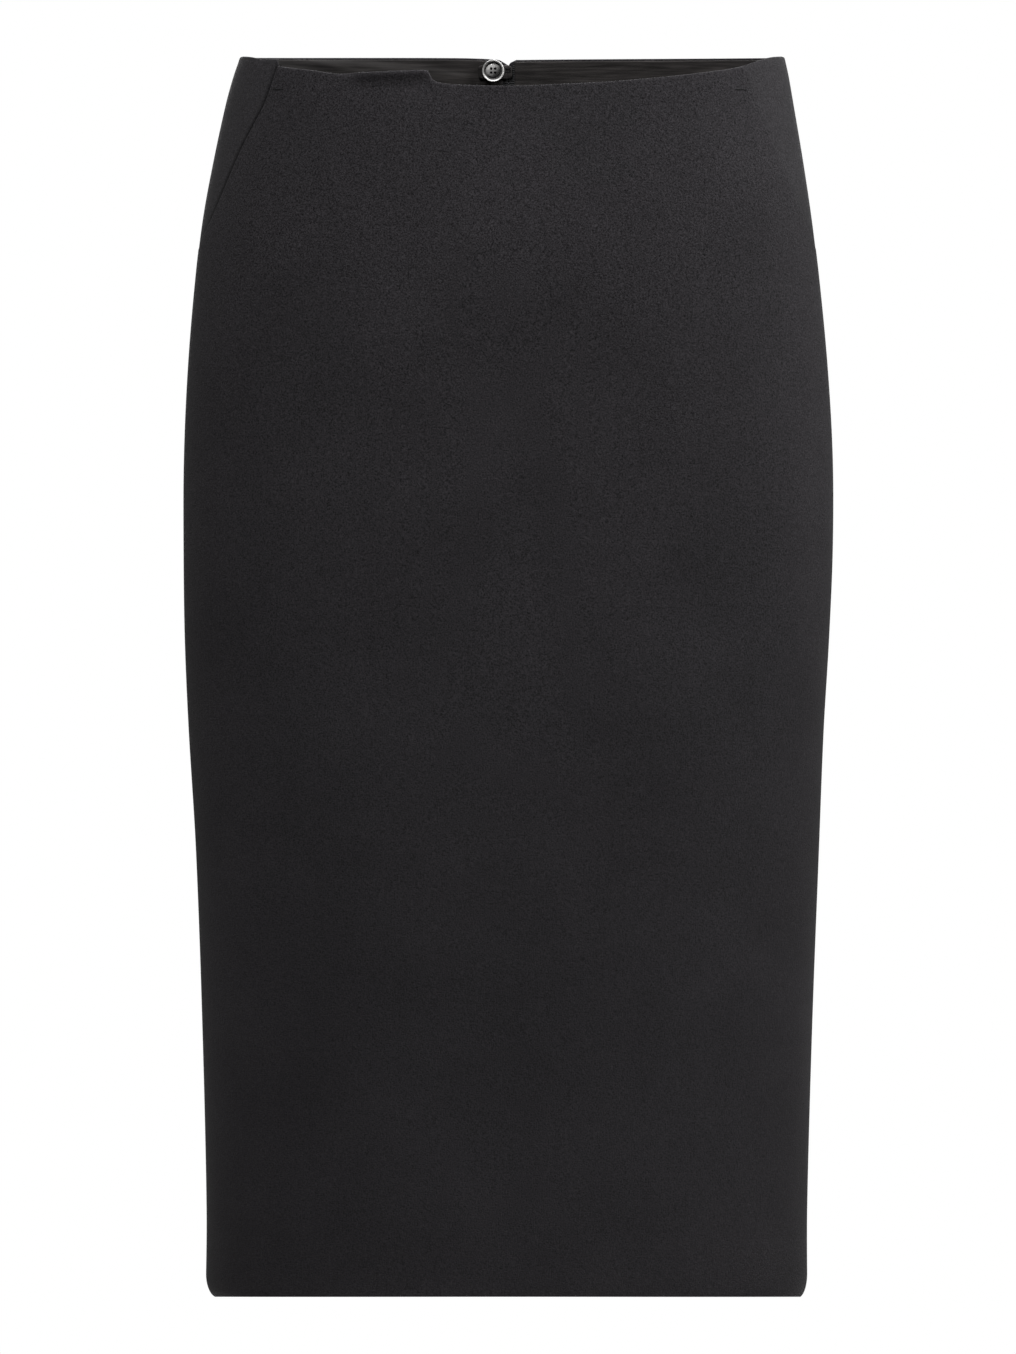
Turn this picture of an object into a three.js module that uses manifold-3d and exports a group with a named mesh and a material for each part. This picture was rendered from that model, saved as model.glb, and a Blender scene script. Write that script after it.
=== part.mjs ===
// A black pencil skirt of firm wool cloth, filled out as if worn, with nobody in it.
// Millimetres, +Z up, front towards -Y. Left and right are the wearer's, so left is +X.
// The origin is the middle of the waist opening, level with the tops of the side seams.

import * as THREE from 'three';
import { mergeVertices } from 'three/addons/utils/BufferGeometryUtils.js';
import Module from 'manifold-3d';

const wasm = await Module();
wasm.setup();

const { lerp, clamp, smoothstep, degToRad } = THREE.MathUtils;

// Driving dimensions
const skirtLength = 700;
const clothWall = 2;
const seamGap = 0.3;
const turnUpHeight = 38;
const turnUpWall = 3;
const hemFrontRise = 1.3;
const waistBackRise = 3.8;
const frontSquareness = 2.5;
const backSquareness = 2.15;
const sideSeamAngle = 92;

// Pocket: the slanted edge runs from the waist down to the side seam
const pocketTopAcross = 133;
const pocketTopHeight = -6.5;
const pocketSlope = 0.409;
const pocketEndHeight = -109;
const bearerWall = 1.2;
const bearerSink = clothWall + 0.7;
const bearerFlushStart = -92;
const bearerSlack = 1.2;
const bearerSlackHeight = 22;
const bearerHem = 500;
const bearerInnerAcross = 66;
const bearerCornerHeight = 60;
const bearerCornerInset = 34;
const bearerHiddenColumns = 5;
const bearerShownColumns = 4;
const bearerHiddenMost = 0.9;

// Centre back: zip above, seam below it, walking slit at the hem
const zipEdgeGap = 0.6;
const sliderEdgeGap = 2.2;
const slitHeight = 160;
const slitSpread = 7;
const tapeWall = 0.8;
const tapeInnerEdge = 1;
const tapeWidth = 11;
const tapeTopHeight = 697;
const tapeBottomHeight = 480;
const facingWall = 1;
const facingCentreEdge = 3.5;
const facingRows = [660, 676, 688, 697, 698.8];
const facingStepWidth = 7;

// Button, its tab, and the zip's slider and pull
const buttonRadius = 6.35;
const buttonAcross = -8.8;
const buttonHeight = -3.2;
const buttonThickness = 3;
const buttonHoleRadius = 0.55;
const buttonHoleSpacing = 2.3;
const buttonSides = 40;
const tabWall = 1;
const tabLeft = 2.2;
const tabRight = -17.5;
const tabTop = -0.4;
const tabBottom = -8.2;
const tabColumns = 14;
const tabRows = 6;
const tabCornerRadius = 2.6;
const tabCornerDrop = 0.8;
const tabFacingClearance = 0.2;
const buttonholeLength = 13;
const buttonholeWidth = 0.9;
const buttonholeFromEnd = 1.6;
const sliderHeight = -21;
const sliderWidth = 5.4;
const sliderLength = 11;
const sliderThickness = 2.4;
const sliderBevel = 0.4;
const pivotStandOff = 1.9;
const neckWidth = 1.2;
const eyeRadius = 2.4;
const eyeHoleRadius = 1.2;
const pullLength = 22;
const pullWidth = 6.4;
const pullWall = 1.4;
const pullTipWidth = 4.2;
const pullBar = 0.7;
const pullShoulder = 3;
const pullClearance = 0.45;

// Columns of the front on each side: evenly over the middle, and out to its edge
const frontMiddleAngle = 50;
const frontMiddleColumns = 9;
const frontEdgeColumns = 9;

// Hem curl: how far the lowest edge turns in, at the sides and at front and back
const hemCurlHeight = 14;
const hemCurlLeft = 5.4;
const hemCurlRight = 7.2;
const hemCurlMiddle = -0.4;
const hemCurlSteps = 4;
const hemCurlEnd = 75;

// Top edge: how far below it the cloth starts to thin, and what it loses on each face
const topLipHeight = 2;
const topLipOutside = 0.9;
const topLipInside = 0.6;

// Sections of the outside: half width, its middle, and depth before and behind
const sections = [
  { z: 8, half: 152.4, middle: 2.4, front: 84.5, back: 86.2 },
  { z: 0, half: 154.0, middle: 2.2, front: 85.0, back: 88.0 },
  { z: -10, half: 156.8, middle: 1.6, front: 85.8, back: 90.2 },
  { z: -25, half: 160.2, middle: 0.8, front: 87.0, back: 93.4 },
  { z: -57, half: 166.4, middle: 0.0, front: 89.8, back: 100.4 },
  { z: -91, half: 172.1, middle: -0.6, front: 92.2, back: 107.4 },
  { z: -125, half: 176.3, middle: -0.6, front: 93.8, back: 112.8 },
  { z: -176, half: 180.8, middle: -0.3, front: 95.0, back: 117.8 },
  { z: -227, half: 183.3, middle: 0.0, front: 95.6, back: 119.5 },
  { z: -278, half: 183.4, middle: -0.1, front: 95.8, back: 118.6 },
  { z: -329, half: 182.0, middle: -0.8, front: 96.0, back: 115.8 },
  { z: -380, half: 179.4, middle: -1.2, front: 96.6, back: 112.2 },
  { z: -448, half: 176.0, middle: -0.5, front: 97.8, back: 108.2 },
  { z: -550, half: 172.1, middle: -0.6, front: 99.8, back: 105.0 },
  { z: -650, half: 169.5, middle: -0.8, front: 101.6, back: 103.6 },
  { z: -710, half: 170.0, middle: -1.1, front: 102.6, back: 103.0 },
];

// Height of the front's top edge, by distance across from the middle
const frontTopEdge = [
  { across: -156, z: 0 },
  { across: -148, z: -1.8 },
  { across: -131, z: -7.4 },
  { across: -112, z: -10.1 },
  { across: -96, z: -12.4 },
  { across: -86, z: -11.9 },
  { across: -66, z: -11.2 },
  { across: -47, z: -10.6 },
  { across: -40, z: -17.2 },
  { across: -30, z: -18.8 },
  { across: 0, z: -19.6 },
  { across: 30, z: -18.5 },
  { across: 63, z: -16.5 },
  { across: 103, z: -12.2 },
  { across: 131, z: -7.6 },
  { across: 148, z: -1.8 },
  { across: 156, z: 0 },
];

// How far the back's top edge dips towards the zip, by distance from the centre back
const backTopDip = {
  right: [
    { across: 0, z: -4.2 },
    { across: 2.6, z: -2.6 },
    { across: 6, z: -1.0 },
    { across: 34, z: 0 },
    { across: 170, z: 0 },
  ],
  left: [
    { across: 0, z: -4.2 },
    { across: 2.6, z: -1.4 },
    { across: 6, z: -1.1 },
    { across: 60, z: -0.6 },
    { across: 170, z: 0 },
  ],
};

// Soft swells and hollows of the cloth: place, half lengths and how proud they stand
const swells = [
  { face: 'front', across: 8, z: -135, wide: 78, tall: 70, proud: 1.8 },
  { face: 'front', across: -125, z: -110, wide: 26, tall: 62, proud: 1.2 },
  { face: 'front', across: -92, z: -105, wide: 22, tall: 60, proud: -0.9 },
  { face: 'front', across: 128, z: -262, wide: 34, tall: 46, proud: 1.1 },
  { face: 'front', across: 62, z: -330, wide: 46, tall: 90, proud: 0.8 },
  { face: 'front', across: -58, z: -370, wide: 46, tall: 100, proud: 0.8 },
  { face: 'front', across: 0, z: -420, wide: 34, tall: 90, proud: -0.8 },
  { face: 'front', across: -10, z: -520, wide: 90, tall: 60, proud: 0.9 },
  { face: 'front', across: -20, z: -625, wide: 80, tall: 50, proud: -0.8 },
  { face: 'back', across: 62, z: -215, wide: 52, tall: 74, proud: 3.0 },
  { face: 'back', across: -62, z: -215, wide: 52, tall: 74, proud: 3.0 },
  { face: 'back', across: 0, z: -330, wide: 60, tall: 46, proud: -1.2 },
  { face: 'back', across: 70, z: -470, wide: 60, tall: 90, proud: 0.9 },
  { face: 'back', across: -66, z: -500, wide: 60, tall: 80, proud: 1.0 },
];

// Rows of every panel, as heights above the hem on a seam of the full length
const bodyRows = [24, turnUpHeight - 1, turnUpHeight + 1.5];
for (let height = 80; height <= 560; height += 40) bodyRows.push(height);
bodyRows.push(578, 591, 594, 598, 604, 620, 640, 660, 676, 688, 697, 699.2, 700);

const clothMaterial = finish('#27272a', 0.92, 0);
const bearerMaterial = finish('#2a2a2d', 0.85, 0);
const facingMaterial = finish('#2b2928', 0.6, 0);
const tapeMaterial = finish('#1b1b1d', 0.8, 0);
const hornMaterial = finish('#8d8d8b', 0.35, 0);
const metalMaterial = finish('#3a3a3d', 0.4, 0.9);

function finish(color, roughness, metalness) {
  return new THREE.MeshStandardMaterial({ color, roughness, metalness });
}

// A smooth curve through the rows of a table, read at one place
function readTable(rows, key, place, value) {
  const sorted = rows[0][key] < rows[rows.length - 1][key] ? rows : [...rows].reverse();
  const last = sorted.length - 1;
  let index = 0;
  while (index < last - 1 && sorted[index + 1][key] < place) index += 1;
  const before = sorted[Math.max(index - 1, 0)];
  const low = sorted[index];
  const high = sorted[index + 1];
  const after = sorted[Math.min(index + 2, last)];
  const step = high[key] - low[key];
  const slopeAt = (a, b) => (b[value] - a[value]) / (b[key] - a[key]);
  const u = clamp((place - low[key]) / step, 0, 1);
  const lowSlope = slopeAt(before, high) * step;
  const highSlope = slopeAt(low, after) * step;
  const rise = high[value] - low[value];
  const bend = (1 - u) * (lowSlope - rise) - u * (highSlope - rise);
  return low[value] + u * rise + u * (1 - u) * bend;
}

const readSection = (z, value) => readTable(sections, 'z', z, value);

// Width, depth and squareness of the half ring that an angle is on
function halfRing(angle, z) {
  const before = Math.cos(angle) >= 0;
  return {
    half: readSection(z, 'half'),
    depth: readSection(z, before ? 'front' : 'back'),
    power: before ? frontSquareness : backSquareness,
    face: before ? 'front' : 'back',
  };
}

// Distance across and depth of the outside at an angle: 0 is centre front, 90 the left side
function ringPoint(angle, z) {
  const { half, depth, power } = halfRing(angle, z);
  const heading = Math.atan2(half * Math.sin(angle), depth * Math.cos(angle));
  const sine = Math.sin(heading);
  const cosine = Math.cos(heading);
  const reach = (Math.abs(sine / half) ** power + Math.abs(cosine / depth) ** power) ** (-1 / power);
  return { across: reach * sine, along: -reach * cosine };
}

function swellAt(face, across, z) {
  let proud = 0;
  for (const swell of swells) {
    if (swell.face !== face) continue;
    const sideways = (across - swell.across) / swell.wide;
    const upward = (z - swell.z) / swell.tall;
    proud += swell.proud * Math.exp(-sideways * sideways - upward * upward);
  }
  return proud;
}

// A point of the skirt, moved in from its outside along the level normal
function clothPoint(angle, z, inset) {
  const { half, depth, power, face } = halfRing(angle, z);
  const { across, along } = ringPoint(angle, z);
  const normal = new THREE.Vector2(
    Math.sign(across) * Math.abs(across / half) ** (power - 1) / half,
    Math.sign(along) * Math.abs(along / depth) ** (power - 1) / depth,
  ).normalize();
  const proud = swellAt(face, across, z) * Math.abs(normal.y) - inset;
  const leaning = readSection(z, 'middle') * (across / half) ** 2;
  return new THREE.Vector3(leaning + across + normal.x * proud, along + normal.y * proud, z);
}

// The angle at which the outside is a given distance across, on the front or the back
function angleAcross(across, z, face) {
  let low = face === 'front' ? 0 : Math.PI / 2;
  let high = low + Math.PI / 2;
  const wanted = Math.min(Math.abs(across), readSection(z, 'half'));
  for (let step = 0; step < 40; step += 1) {
    const middle = (low + high) / 2;
    const short = ringPoint(middle, z).across < wanted;
    if (short === (face === 'front')) low = middle;
    else high = middle;
  }
  return Math.sign(across) * (low + high) / 2;
}

function topHeight(angle) {
  const { across } = ringPoint(angle, -10);
  if (Math.cos(angle) >= 0) return readTable(frontTopEdge, 'across', across, 'z');
  const dip = backTopDip[across < 0 ? 'right' : 'left'];
  return -waistBackRise * Math.cos(angle) + readTable(dip, 'across', Math.abs(across), 'z');
}

function hemHeight(angle) {
  return -skirtLength + hemFrontRise * Math.max(Math.cos(angle), 0);
}

// Height of a row at an angle: the rows spread evenly between hem and top edge
function rowHeight(angle, rowAbove) {
  return lerp(hemHeight(angle), topHeight(angle), rowAbove / skirtLength);
}

// Closed body between an outer and an inner grid of points, columns round and rows up
function closedSheet(outer, inner) {
  const columns = outer.length;
  const rows = outer[0].length;
  const positions = [];
  for (const grid of [outer, inner]) {
    for (const column of grid) {
      for (const point of column) positions.push(point.x, point.y, point.z);
    }
  }
  const out = (column, row) => column * rows + row;
  const back = (column, row) => columns * rows + column * rows + row;
  const index = [];
  const quad = (a, b, c, d) => index.push(a, b, c, a, c, d);
  for (let c = 0; c < columns - 1; c += 1) {
    for (let r = 0; r < rows - 1; r += 1) {
      quad(out(c, r), out(c + 1, r), out(c + 1, r + 1), out(c, r + 1));
      quad(back(c, r), back(c, r + 1), back(c + 1, r + 1), back(c + 1, r));
    }
    quad(back(c, 0), back(c + 1, 0), out(c + 1, 0), out(c, 0));
    quad(out(c, rows - 1), out(c + 1, rows - 1), back(c + 1, rows - 1), back(c, rows - 1));
  }
  const end = columns - 1;
  for (let r = 0; r < rows - 1; r += 1) {
    quad(out(0, r), out(0, r + 1), back(0, r + 1), back(0, r));
    quad(back(end, r), back(end, r + 1), out(end, r + 1), out(end, r));
  }
  const geometry = new THREE.BufferGeometry();
  geometry.setAttribute('position', new THREE.Float32BufferAttribute(positions, 3));
  geometry.setIndex(index);
  geometry.computeVertexNormals();
  return geometry;
}

// Section of a panel's wall, from the curled hem up to the rounded top edge
function panelProfile() {
  const profile = [];
  for (let step = 0; step <= hemCurlSteps; step += 1) {
    const turn = degToRad(hemCurlEnd * (1 - step / hemCurlSteps));
    const lift = hemCurlHeight * (Math.sin(degToRad(hemCurlEnd)) - Math.sin(turn));
    profile.push({
      outerRow: lift,
      innerRow: lift + turnUpWall * Math.sin(turn),
      curl: 1 - Math.cos(turn),
      outerInset: 0,
      wall: turnUpWall * Math.cos(turn),
    });
  }
  for (const row of bodyRows) {
    const lip = Math.max(0, 1 - (skirtLength - row) / topLipHeight);
    const outerInset = topLipOutside * lip * lip;
    const fullWall = row < turnUpHeight ? turnUpWall : clothWall;
    const wall = fullWall - outerInset - topLipInside * lip;
    profile.push({ outerRow: row, innerRow: row, curl: 0, outerInset, wall });
  }
  return profile;
}

function hemCurl(angle) {
  const atSide = angle > 0 ? hemCurlLeft : hemCurlRight;
  return lerp(hemCurlMiddle, atSide, Math.abs(Math.sin(angle)) ** 4);
}

// A panel between two edges, each given as the angle at a row
function panel(columnAngles) {
  const profile = panelProfile();
  const outer = [];
  const inner = [];
  for (const columnAngle of columnAngles) {
    outer.push(profile.map(({ outerRow, curl, outerInset }) => {
      const angle = columnAngle(outerRow);
      return clothPoint(angle, rowHeight(angle, outerRow), outerInset + curl * hemCurl(angle));
    }));
    inner.push(profile.map(({ outerRow, innerRow, curl, outerInset, wall }) => {
      const angle = columnAngle(outerRow);
      return clothPoint(angle, rowHeight(angle, innerRow), outerInset + curl * hemCurl(angle) + wall);
    }));
  }
  return closedSheet(outer, inner);
}

// Distance across of the slanted pocket edge at a height
function pocketAcross(z) {
  return pocketTopAcross + pocketSlope * (pocketTopHeight - z);
}

// Angle of the front's own edge at a row: the side seam, or the pocket edge above its end
function frontEdgeAngle(row) {
  const seam = degToRad(sideSeamAngle);
  let angle = seam;
  for (let pass = 0; pass < 8; pass += 1) {
    const z = rowHeight(angle, row);
    if (z < pocketEndHeight) return seam;
    angle = Math.min(seam, angleAcross(pocketAcross(z), z, 'front'));
  }
  return angle;
}

// Columns of the front: even over its middle, then drawn in or out with its edge
function frontPanel() {
  const angles = [];
  const total = frontMiddleColumns + frontEdgeColumns;
  for (let column = -total; column <= total; column += 1) {
    const even = degToRad(frontMiddleAngle) * Math.min(Math.abs(column) / frontMiddleColumns, 1);
    const outward = Math.max(0, (Math.abs(column) - frontMiddleColumns) / frontEdgeColumns);
    angles.push((row) => Math.sign(column) * lerp(even, frontEdgeAngle(row), outward));
  }
  return panel(angles);
}

// Angle that sets a panel's edge half a seam gap away from the side seam
function seamAngle(z) {
  return degToRad(sideSeamAngle) + seamGap / readSection(z, 'back');
}

// Half of the opening between the back's two edges at a row
function centreBackHalfGap(row) {
  if (row < slitHeight) return lerp(slitSpread, seamGap, row / slitHeight) / 2;
  if (row < tapeBottomHeight) return seamGap / 2;
  const z = row - skirtLength;
  const nearSlider = 1 - smoothstep(Math.abs(z - sliderHeight), sliderLength / 2, sliderLength);
  return lerp(zipEdgeGap, sliderEdgeGap, nearSlider) / 2;
}

// Columns of the back, from the side seam to the centre back, finer by the zip
const backFineAcross = [20, 13, 6.5, facingCentreEdge];
const backEvenColumns = 13;

function backColumnAngle(column, row, side) {
  const z = row - skirtLength;
  if (column <= backEvenColumns) {
    const nearCentre = angleAcross(backFineAcross[0], z, 'back');
    return side * lerp(seamAngle(z), nearCentre, column / backEvenColumns);
  }
  const fine = backFineAcross[column - backEvenColumns];
  return side * angleAcross(fine ?? centreBackHalfGap(row), z, 'back');
}

// Column numbers round one side of the back, in the order that keeps faces outward
function sideOrder(count, side) {
  const order = Array.from({ length: count }, (_, column) => column);
  return side > 0 ? order : order.reverse();
}

function backPanel(side) {
  const count = backEvenColumns + backFineAcross.length + 1;
  return panel(sideOrder(count, side).map((column) => (row) => backColumnAngle(column, row, side)));
}

// Inner edge of the pocket's hip piece, rounded off at its lower corner
function bearerInnerAngle(row) {
  const rounding = Math.max(0, 1 - (row - bearerHem) / bearerCornerHeight);
  const across = bearerInnerAcross + bearerCornerInset * rounding * rounding;
  return angleAcross(across, row - skirtLength, 'front');
}

// The pocket's hip piece: sunk under the front, and rising to lie flush at the side seam
function pocketBearer(side) {
  const rows = bodyRows.filter((row) => row >= bearerHem);
  const outer = [];
  const inner = [];
  for (const column of sideOrder(bearerHiddenColumns + bearerShownColumns + 1, side)) {
    const outerColumn = [];
    const innerColumn = [];
    for (const row of rows) {
      const z = row - skirtLength;
      const seam = degToRad(sideSeamAngle) - seamGap / readSection(z, 'back');
      const innerEdge = bearerInnerAngle(row);
      const edge = Math.min(frontEdgeAngle(row), lerp(innerEdge, seam, bearerHiddenMost));
      const shown = Math.max(0, (column - bearerHiddenColumns) / bearerShownColumns);
      const hidden = Math.min(1, column / bearerHiddenColumns);
      const angle = shown > 0 ? lerp(edge, seam, shown) : lerp(innerEdge, edge, hidden);
      const flush = clamp(1 - z / bearerFlushStart, 0, 1);
      const slack = bearerSlack * Math.exp(-(((z - pocketEndHeight) / bearerSlackHeight) ** 2));
      const inset = bearerSink * (1 - shown * flush) + slack;
      const height = rowHeight(angle, row);
      outerColumn.push(clothPoint(side * angle, height, inset));
      innerColumn.push(clothPoint(side * angle, height, inset + bearerWall));
    }
    outer.push(outerColumn);
    inner.push(innerColumn);
  }
  return closedSheet(outer, inner);
}

// Inner face of the facing lies over the panel, and over the zip tape by the centre back
function facingInset(across) {
  const tapeEnd = tapeInnerEdge + tapeWidth + 1;
  const overTape = 1 - smoothstep(Math.abs(across), tapeEnd, tapeEnd + facingStepWidth);
  return clothWall + seamGap + (tapeWall + seamGap) * overTape;
}

function backFacing(side) {
  const count = backEvenColumns + backFineAcross.length;
  const outer = [];
  const inner = [];
  for (const column of sideOrder(count, side)) {
    const outerColumn = [];
    const innerColumn = [];
    for (const row of facingRows) {
      const angle = backColumnAngle(column, row, side);
      const z = rowHeight(angle, row);
      const inset = facingInset(ringPoint(angle, z).across);
      outerColumn.push(clothPoint(angle, z, inset));
      innerColumn.push(clothPoint(angle, z, inset + facingWall));
    }
    outer.push(outerColumn);
    inner.push(innerColumn);
  }
  return closedSheet(outer, inner);
}

function zipTape(side) {
  const rows = bodyRows.filter((row) => row >= tapeBottomHeight && row <= tapeTopHeight);
  const acrosses = [tapeInnerEdge + tapeWidth, tapeInnerEdge + tapeWidth / 2, tapeInnerEdge];
  const outer = [];
  const inner = [];
  for (const column of sideOrder(acrosses.length, side)) {
    const inset = clothWall + seamGap;
    const place = (row, moved) => {
      const angle = side * angleAcross(acrosses[column], row - skirtLength, 'back');
      return clothPoint(angle, rowHeight(angle, row), moved);
    };
    outer.push(rows.map((row) => place(row, inset)));
    inner.push(rows.map((row) => place(row, inset + tapeWall)));
  }
  return closedSheet(outer, inner);
}

// A point of the back by the zip, given by its distance across and its height
function behindWall(across, z, inset) {
  const angle = across === 0 ? Math.PI : angleAcross(across, z, 'back');
  return clothPoint(angle, z, inset);
}

function toManifold(geometry) {
  const bare = geometry.clone();
  bare.deleteAttribute('normal');
  bare.deleteAttribute('uv');
  const merged = mergeVertices(bare, 1e-4);
  return new wasm.Manifold(new wasm.Mesh({
    numProp: 3,
    vertProperties: new Float32Array(merged.attributes.position.array),
    triVerts: new Uint32Array(merged.index.array),
  }));
}

function fromManifold(solid) {
  const mesh = solid.getMesh();
  const geometry = new THREE.BufferGeometry();
  geometry.setAttribute('position', new THREE.BufferAttribute(new Float32Array(mesh.vertProperties), 3));
  geometry.setIndex(new THREE.BufferAttribute(new Uint32Array(mesh.triVerts), 1));
  return geometry;
}

// Tab on the inside of the centre back: it crosses the zip and buttons on the other side
function tabInset(across) {
  const overTape = clothWall + seamGap + tapeWall + seamGap;
  const overFacing = overTape + facingWall + seamGap + tabFacingClearance;
  return lerp(overFacing, overTape, smoothstep(across, -facingCentreEdge, -zipEdgeGap));
}

function buttonTab() {
  const outer = [];
  const inner = [];
  const r = tabCornerRadius;
  for (let column = tabColumns; column >= 0; column -= 1) {
    const across = lerp(tabRight, tabLeft, column / tabColumns);
    const fromEnd = Math.min(tabLeft - across, across - tabRight, r);
    const drop = tabCornerDrop * (r - Math.sqrt(r ** 2 - (r - fromEnd) ** 2));
    const heights = Array.from({ length: tabRows + 1 }, (_, row) => (
      lerp(tabBottom + drop, tabTop - drop, row / tabRows)));
    outer.push(heights.map((z) => behindWall(across, z, tabInset(across))));
    inner.push(heights.map((z) => behindWall(across, z, tabInset(across) + tabWall)));
  }
  const slotAcross = tabLeft - buttonholeFromEnd - buttonholeLength / 2;
  const slotMiddle = behindWall(slotAcross, buttonHeight, tabInset(slotAcross));
  const slot = new THREE.BoxGeometry(buttonholeLength, buttonRadius * 2, buttonholeWidth);
  slot.translate(slotAcross, slotMiddle.y, buttonHeight);
  return fromManifold(toManifold(closedSheet(outer, inner)).subtract(toManifold(slot)));
}

// Button: raised rim, groove and dished middle with four holes, its face towards +Z here
function buttonGeometry() {
  const r = buttonRadius;
  const profile = [
    { across: 0, up: 0 },
    { across: r - 1.6, up: 0 },
    { across: r - 0.5, up: 0.55 },
    { across: r, up: 1.35 },
    { across: r - 0.1, up: 2.2 },
    { across: r - 0.6, up: 2.85 },
    { across: r - 1.1, up: buttonThickness },
    { across: r - 1.55, up: 2.8 },
    { across: r - 1.8, up: 2.3 },
    { across: r - 2.5, up: 2.1 },
    { across: 2.4, up: 1.85 },
    { across: 0, up: 1.75 },
  ];
  const outline = profile.map(({ across, up }) => new THREE.Vector2(across, up));
  const disc = new THREE.LatheGeometry(outline, buttonSides);
  disc.rotateX(Math.PI / 2);
  let solid = toManifold(disc);
  for (const x of [-0.5, 0.5]) {
    for (const y of [-0.5, 0.5]) {
      const hole = new THREE.CylinderGeometry(buttonHoleRadius, buttonHoleRadius, buttonRadius * 2, 12);
      hole.rotateX(Math.PI / 2);
      hole.translate(x * buttonHoleSpacing, y * buttonHoleSpacing, 0);
      solid = solid.subtract(toManifold(hole));
    }
  }
  return fromManifold(solid);
}

// How far the centre back leans out between two heights, as an angle
function backLean(highZ, lowZ) {
  const high = behindWall(0, highZ, 0);
  const low = behindWall(0, lowZ, 0);
  return Math.atan2(low.y - high.y, highZ - lowZ);
}

function placeButton(mesh) {
  const seat = tabInset(buttonAcross) + tabWall + seamGap;
  mesh.position.copy(behindWall(buttonAcross, buttonHeight, seat));
  mesh.rotation.x = Math.PI / 2 + backLean(0, buttonHeight * 2);
}

// Slider: body behind the tapes, thin neck out through the gap, round eye for the pull
function zipSlider() {
  const lean = backLean(sliderHeight + 6, sliderHeight - 6);
  const wallFace = behindWall(0, sliderHeight, 0).y;
  const bodyFront = -(clothWall + seamGap + tapeWall + seamGap);
  const outline = new THREE.Shape();
  const w = sliderWidth / 2;
  const l = sliderLength / 2;
  outline.moveTo(-w * 0.55, -l);
  outline.lineTo(w * 0.55, -l);
  outline.quadraticCurveTo(w, -l * 0.5, w, l * 0.3);
  outline.quadraticCurveTo(w, l, w * 0.4, l);
  outline.lineTo(-w * 0.4, l);
  outline.quadraticCurveTo(-w, l, -w, l * 0.3);
  outline.quadraticCurveTo(-w, -l * 0.5, -w * 0.55, -l);
  const body = new THREE.ExtrudeGeometry(outline, {
    depth: sliderThickness - 2 * sliderBevel,
    bevelThickness: sliderBevel,
    bevelSize: sliderBevel,
    bevelOffset: -sliderBevel,
    bevelSegments: 1,
    curveSegments: 4,
  });
  body.rotateX(Math.PI / 2);
  body.translate(0, bodyFront - sliderBevel, 0);
  const neckOutline = new THREE.Shape();
  const root = bodyFront - 1;
  neckOutline.moveTo(root, -1.6);
  neckOutline.lineTo(pivotStandOff, -eyeRadius * 0.8);
  neckOutline.absarc(pivotStandOff, 0, eyeRadius, -Math.PI * 0.35, Math.PI * 0.35, false);
  neckOutline.lineTo(pivotStandOff, eyeRadius * 0.8);
  neckOutline.lineTo(root, 1.6);
  neckOutline.closePath();
  const eye = new THREE.Path();
  eye.absarc(pivotStandOff, 0, eyeHoleRadius, 0, Math.PI * 2, true);
  neckOutline.holes.push(eye);
  const neck = new THREE.ExtrudeGeometry(neckOutline, {
    depth: neckWidth,
    bevelEnabled: false,
    curveSegments: 10,
  });
  neck.translate(0, 0, -neckWidth / 2);
  neck.applyMatrix4(new THREE.Matrix4().set(0, 0, 1, 0, 1, 0, 0, 0, 0, 1, 0, 0, 0, 0, 0, 1));
  const slider = fromManifold(toManifold(body).add(toManifold(neck)));
  slider.rotateX(lean);
  slider.translate(0, wallFace, sliderHeight);
  return slider;
}

function pullPivot() {
  const lean = backLean(sliderHeight + 6, sliderHeight - 6);
  const wallFace = behindWall(0, sliderHeight, 0).y;
  const y = wallFace + pivotStandOff * Math.cos(lean);
  const z = sliderHeight + pivotStandOff * Math.sin(lean);
  return new THREE.Vector3(0, y, z);
}

// Pull: a slim plate whose top bar runs through the slider's eye, hanging on the cloth
function zipPull() {
  const windowHalf = neckWidth / 2 + 0.5;
  const windowBottom = -(eyeRadius + 0.4);
  const w = pullWidth / 2;
  const tip = pullTipWidth / 2;
  const outline = new THREE.Shape();
  outline.moveTo(-w * 0.75, pullBar);
  outline.lineTo(w * 0.75, pullBar);
  outline.lineTo(w * 0.75, windowBottom + 0.5);
  outline.lineTo(w, windowBottom - pullShoulder);
  outline.lineTo(tip, -pullLength + tip);
  outline.absarc(0, -pullLength + tip, tip, 0, -Math.PI, true);
  outline.lineTo(-w, windowBottom - pullShoulder);
  outline.lineTo(-w * 0.75, windowBottom + 0.5);
  outline.closePath();
  const window = new THREE.Path();
  window.moveTo(-windowHalf, -pullBar);
  window.lineTo(-windowHalf, windowBottom);
  window.lineTo(windowHalf, windowBottom);
  window.lineTo(windowHalf, -pullBar);
  window.closePath();
  outline.holes.push(window);
  const plate = new THREE.ExtrudeGeometry(outline, {
    depth: pullWall,
    bevelEnabled: false,
    curveSegments: 8,
  });
  plate.translate(0, 0, -pullWall / 2);
  plate.rotateX(Math.PI / 2);
  return plate;
}

// Turn of the pull that brings its tip down to a small clearance off the cloth
function pullLean() {
  const pivot = pullPivot();
  const tipHeight = pivot.z - pullLength;
  const tipDepth = behindWall(0, tipHeight, 0).y + pullWall / 2 + pullClearance;
  return Math.atan2(tipDepth - pivot.y, pullLength);
}

function addMesh(group, name, geometry, material) {
  const mesh = new THREE.Mesh(geometry, material);
  mesh.name = name;
  group.add(mesh);
  return mesh;
}

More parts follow.
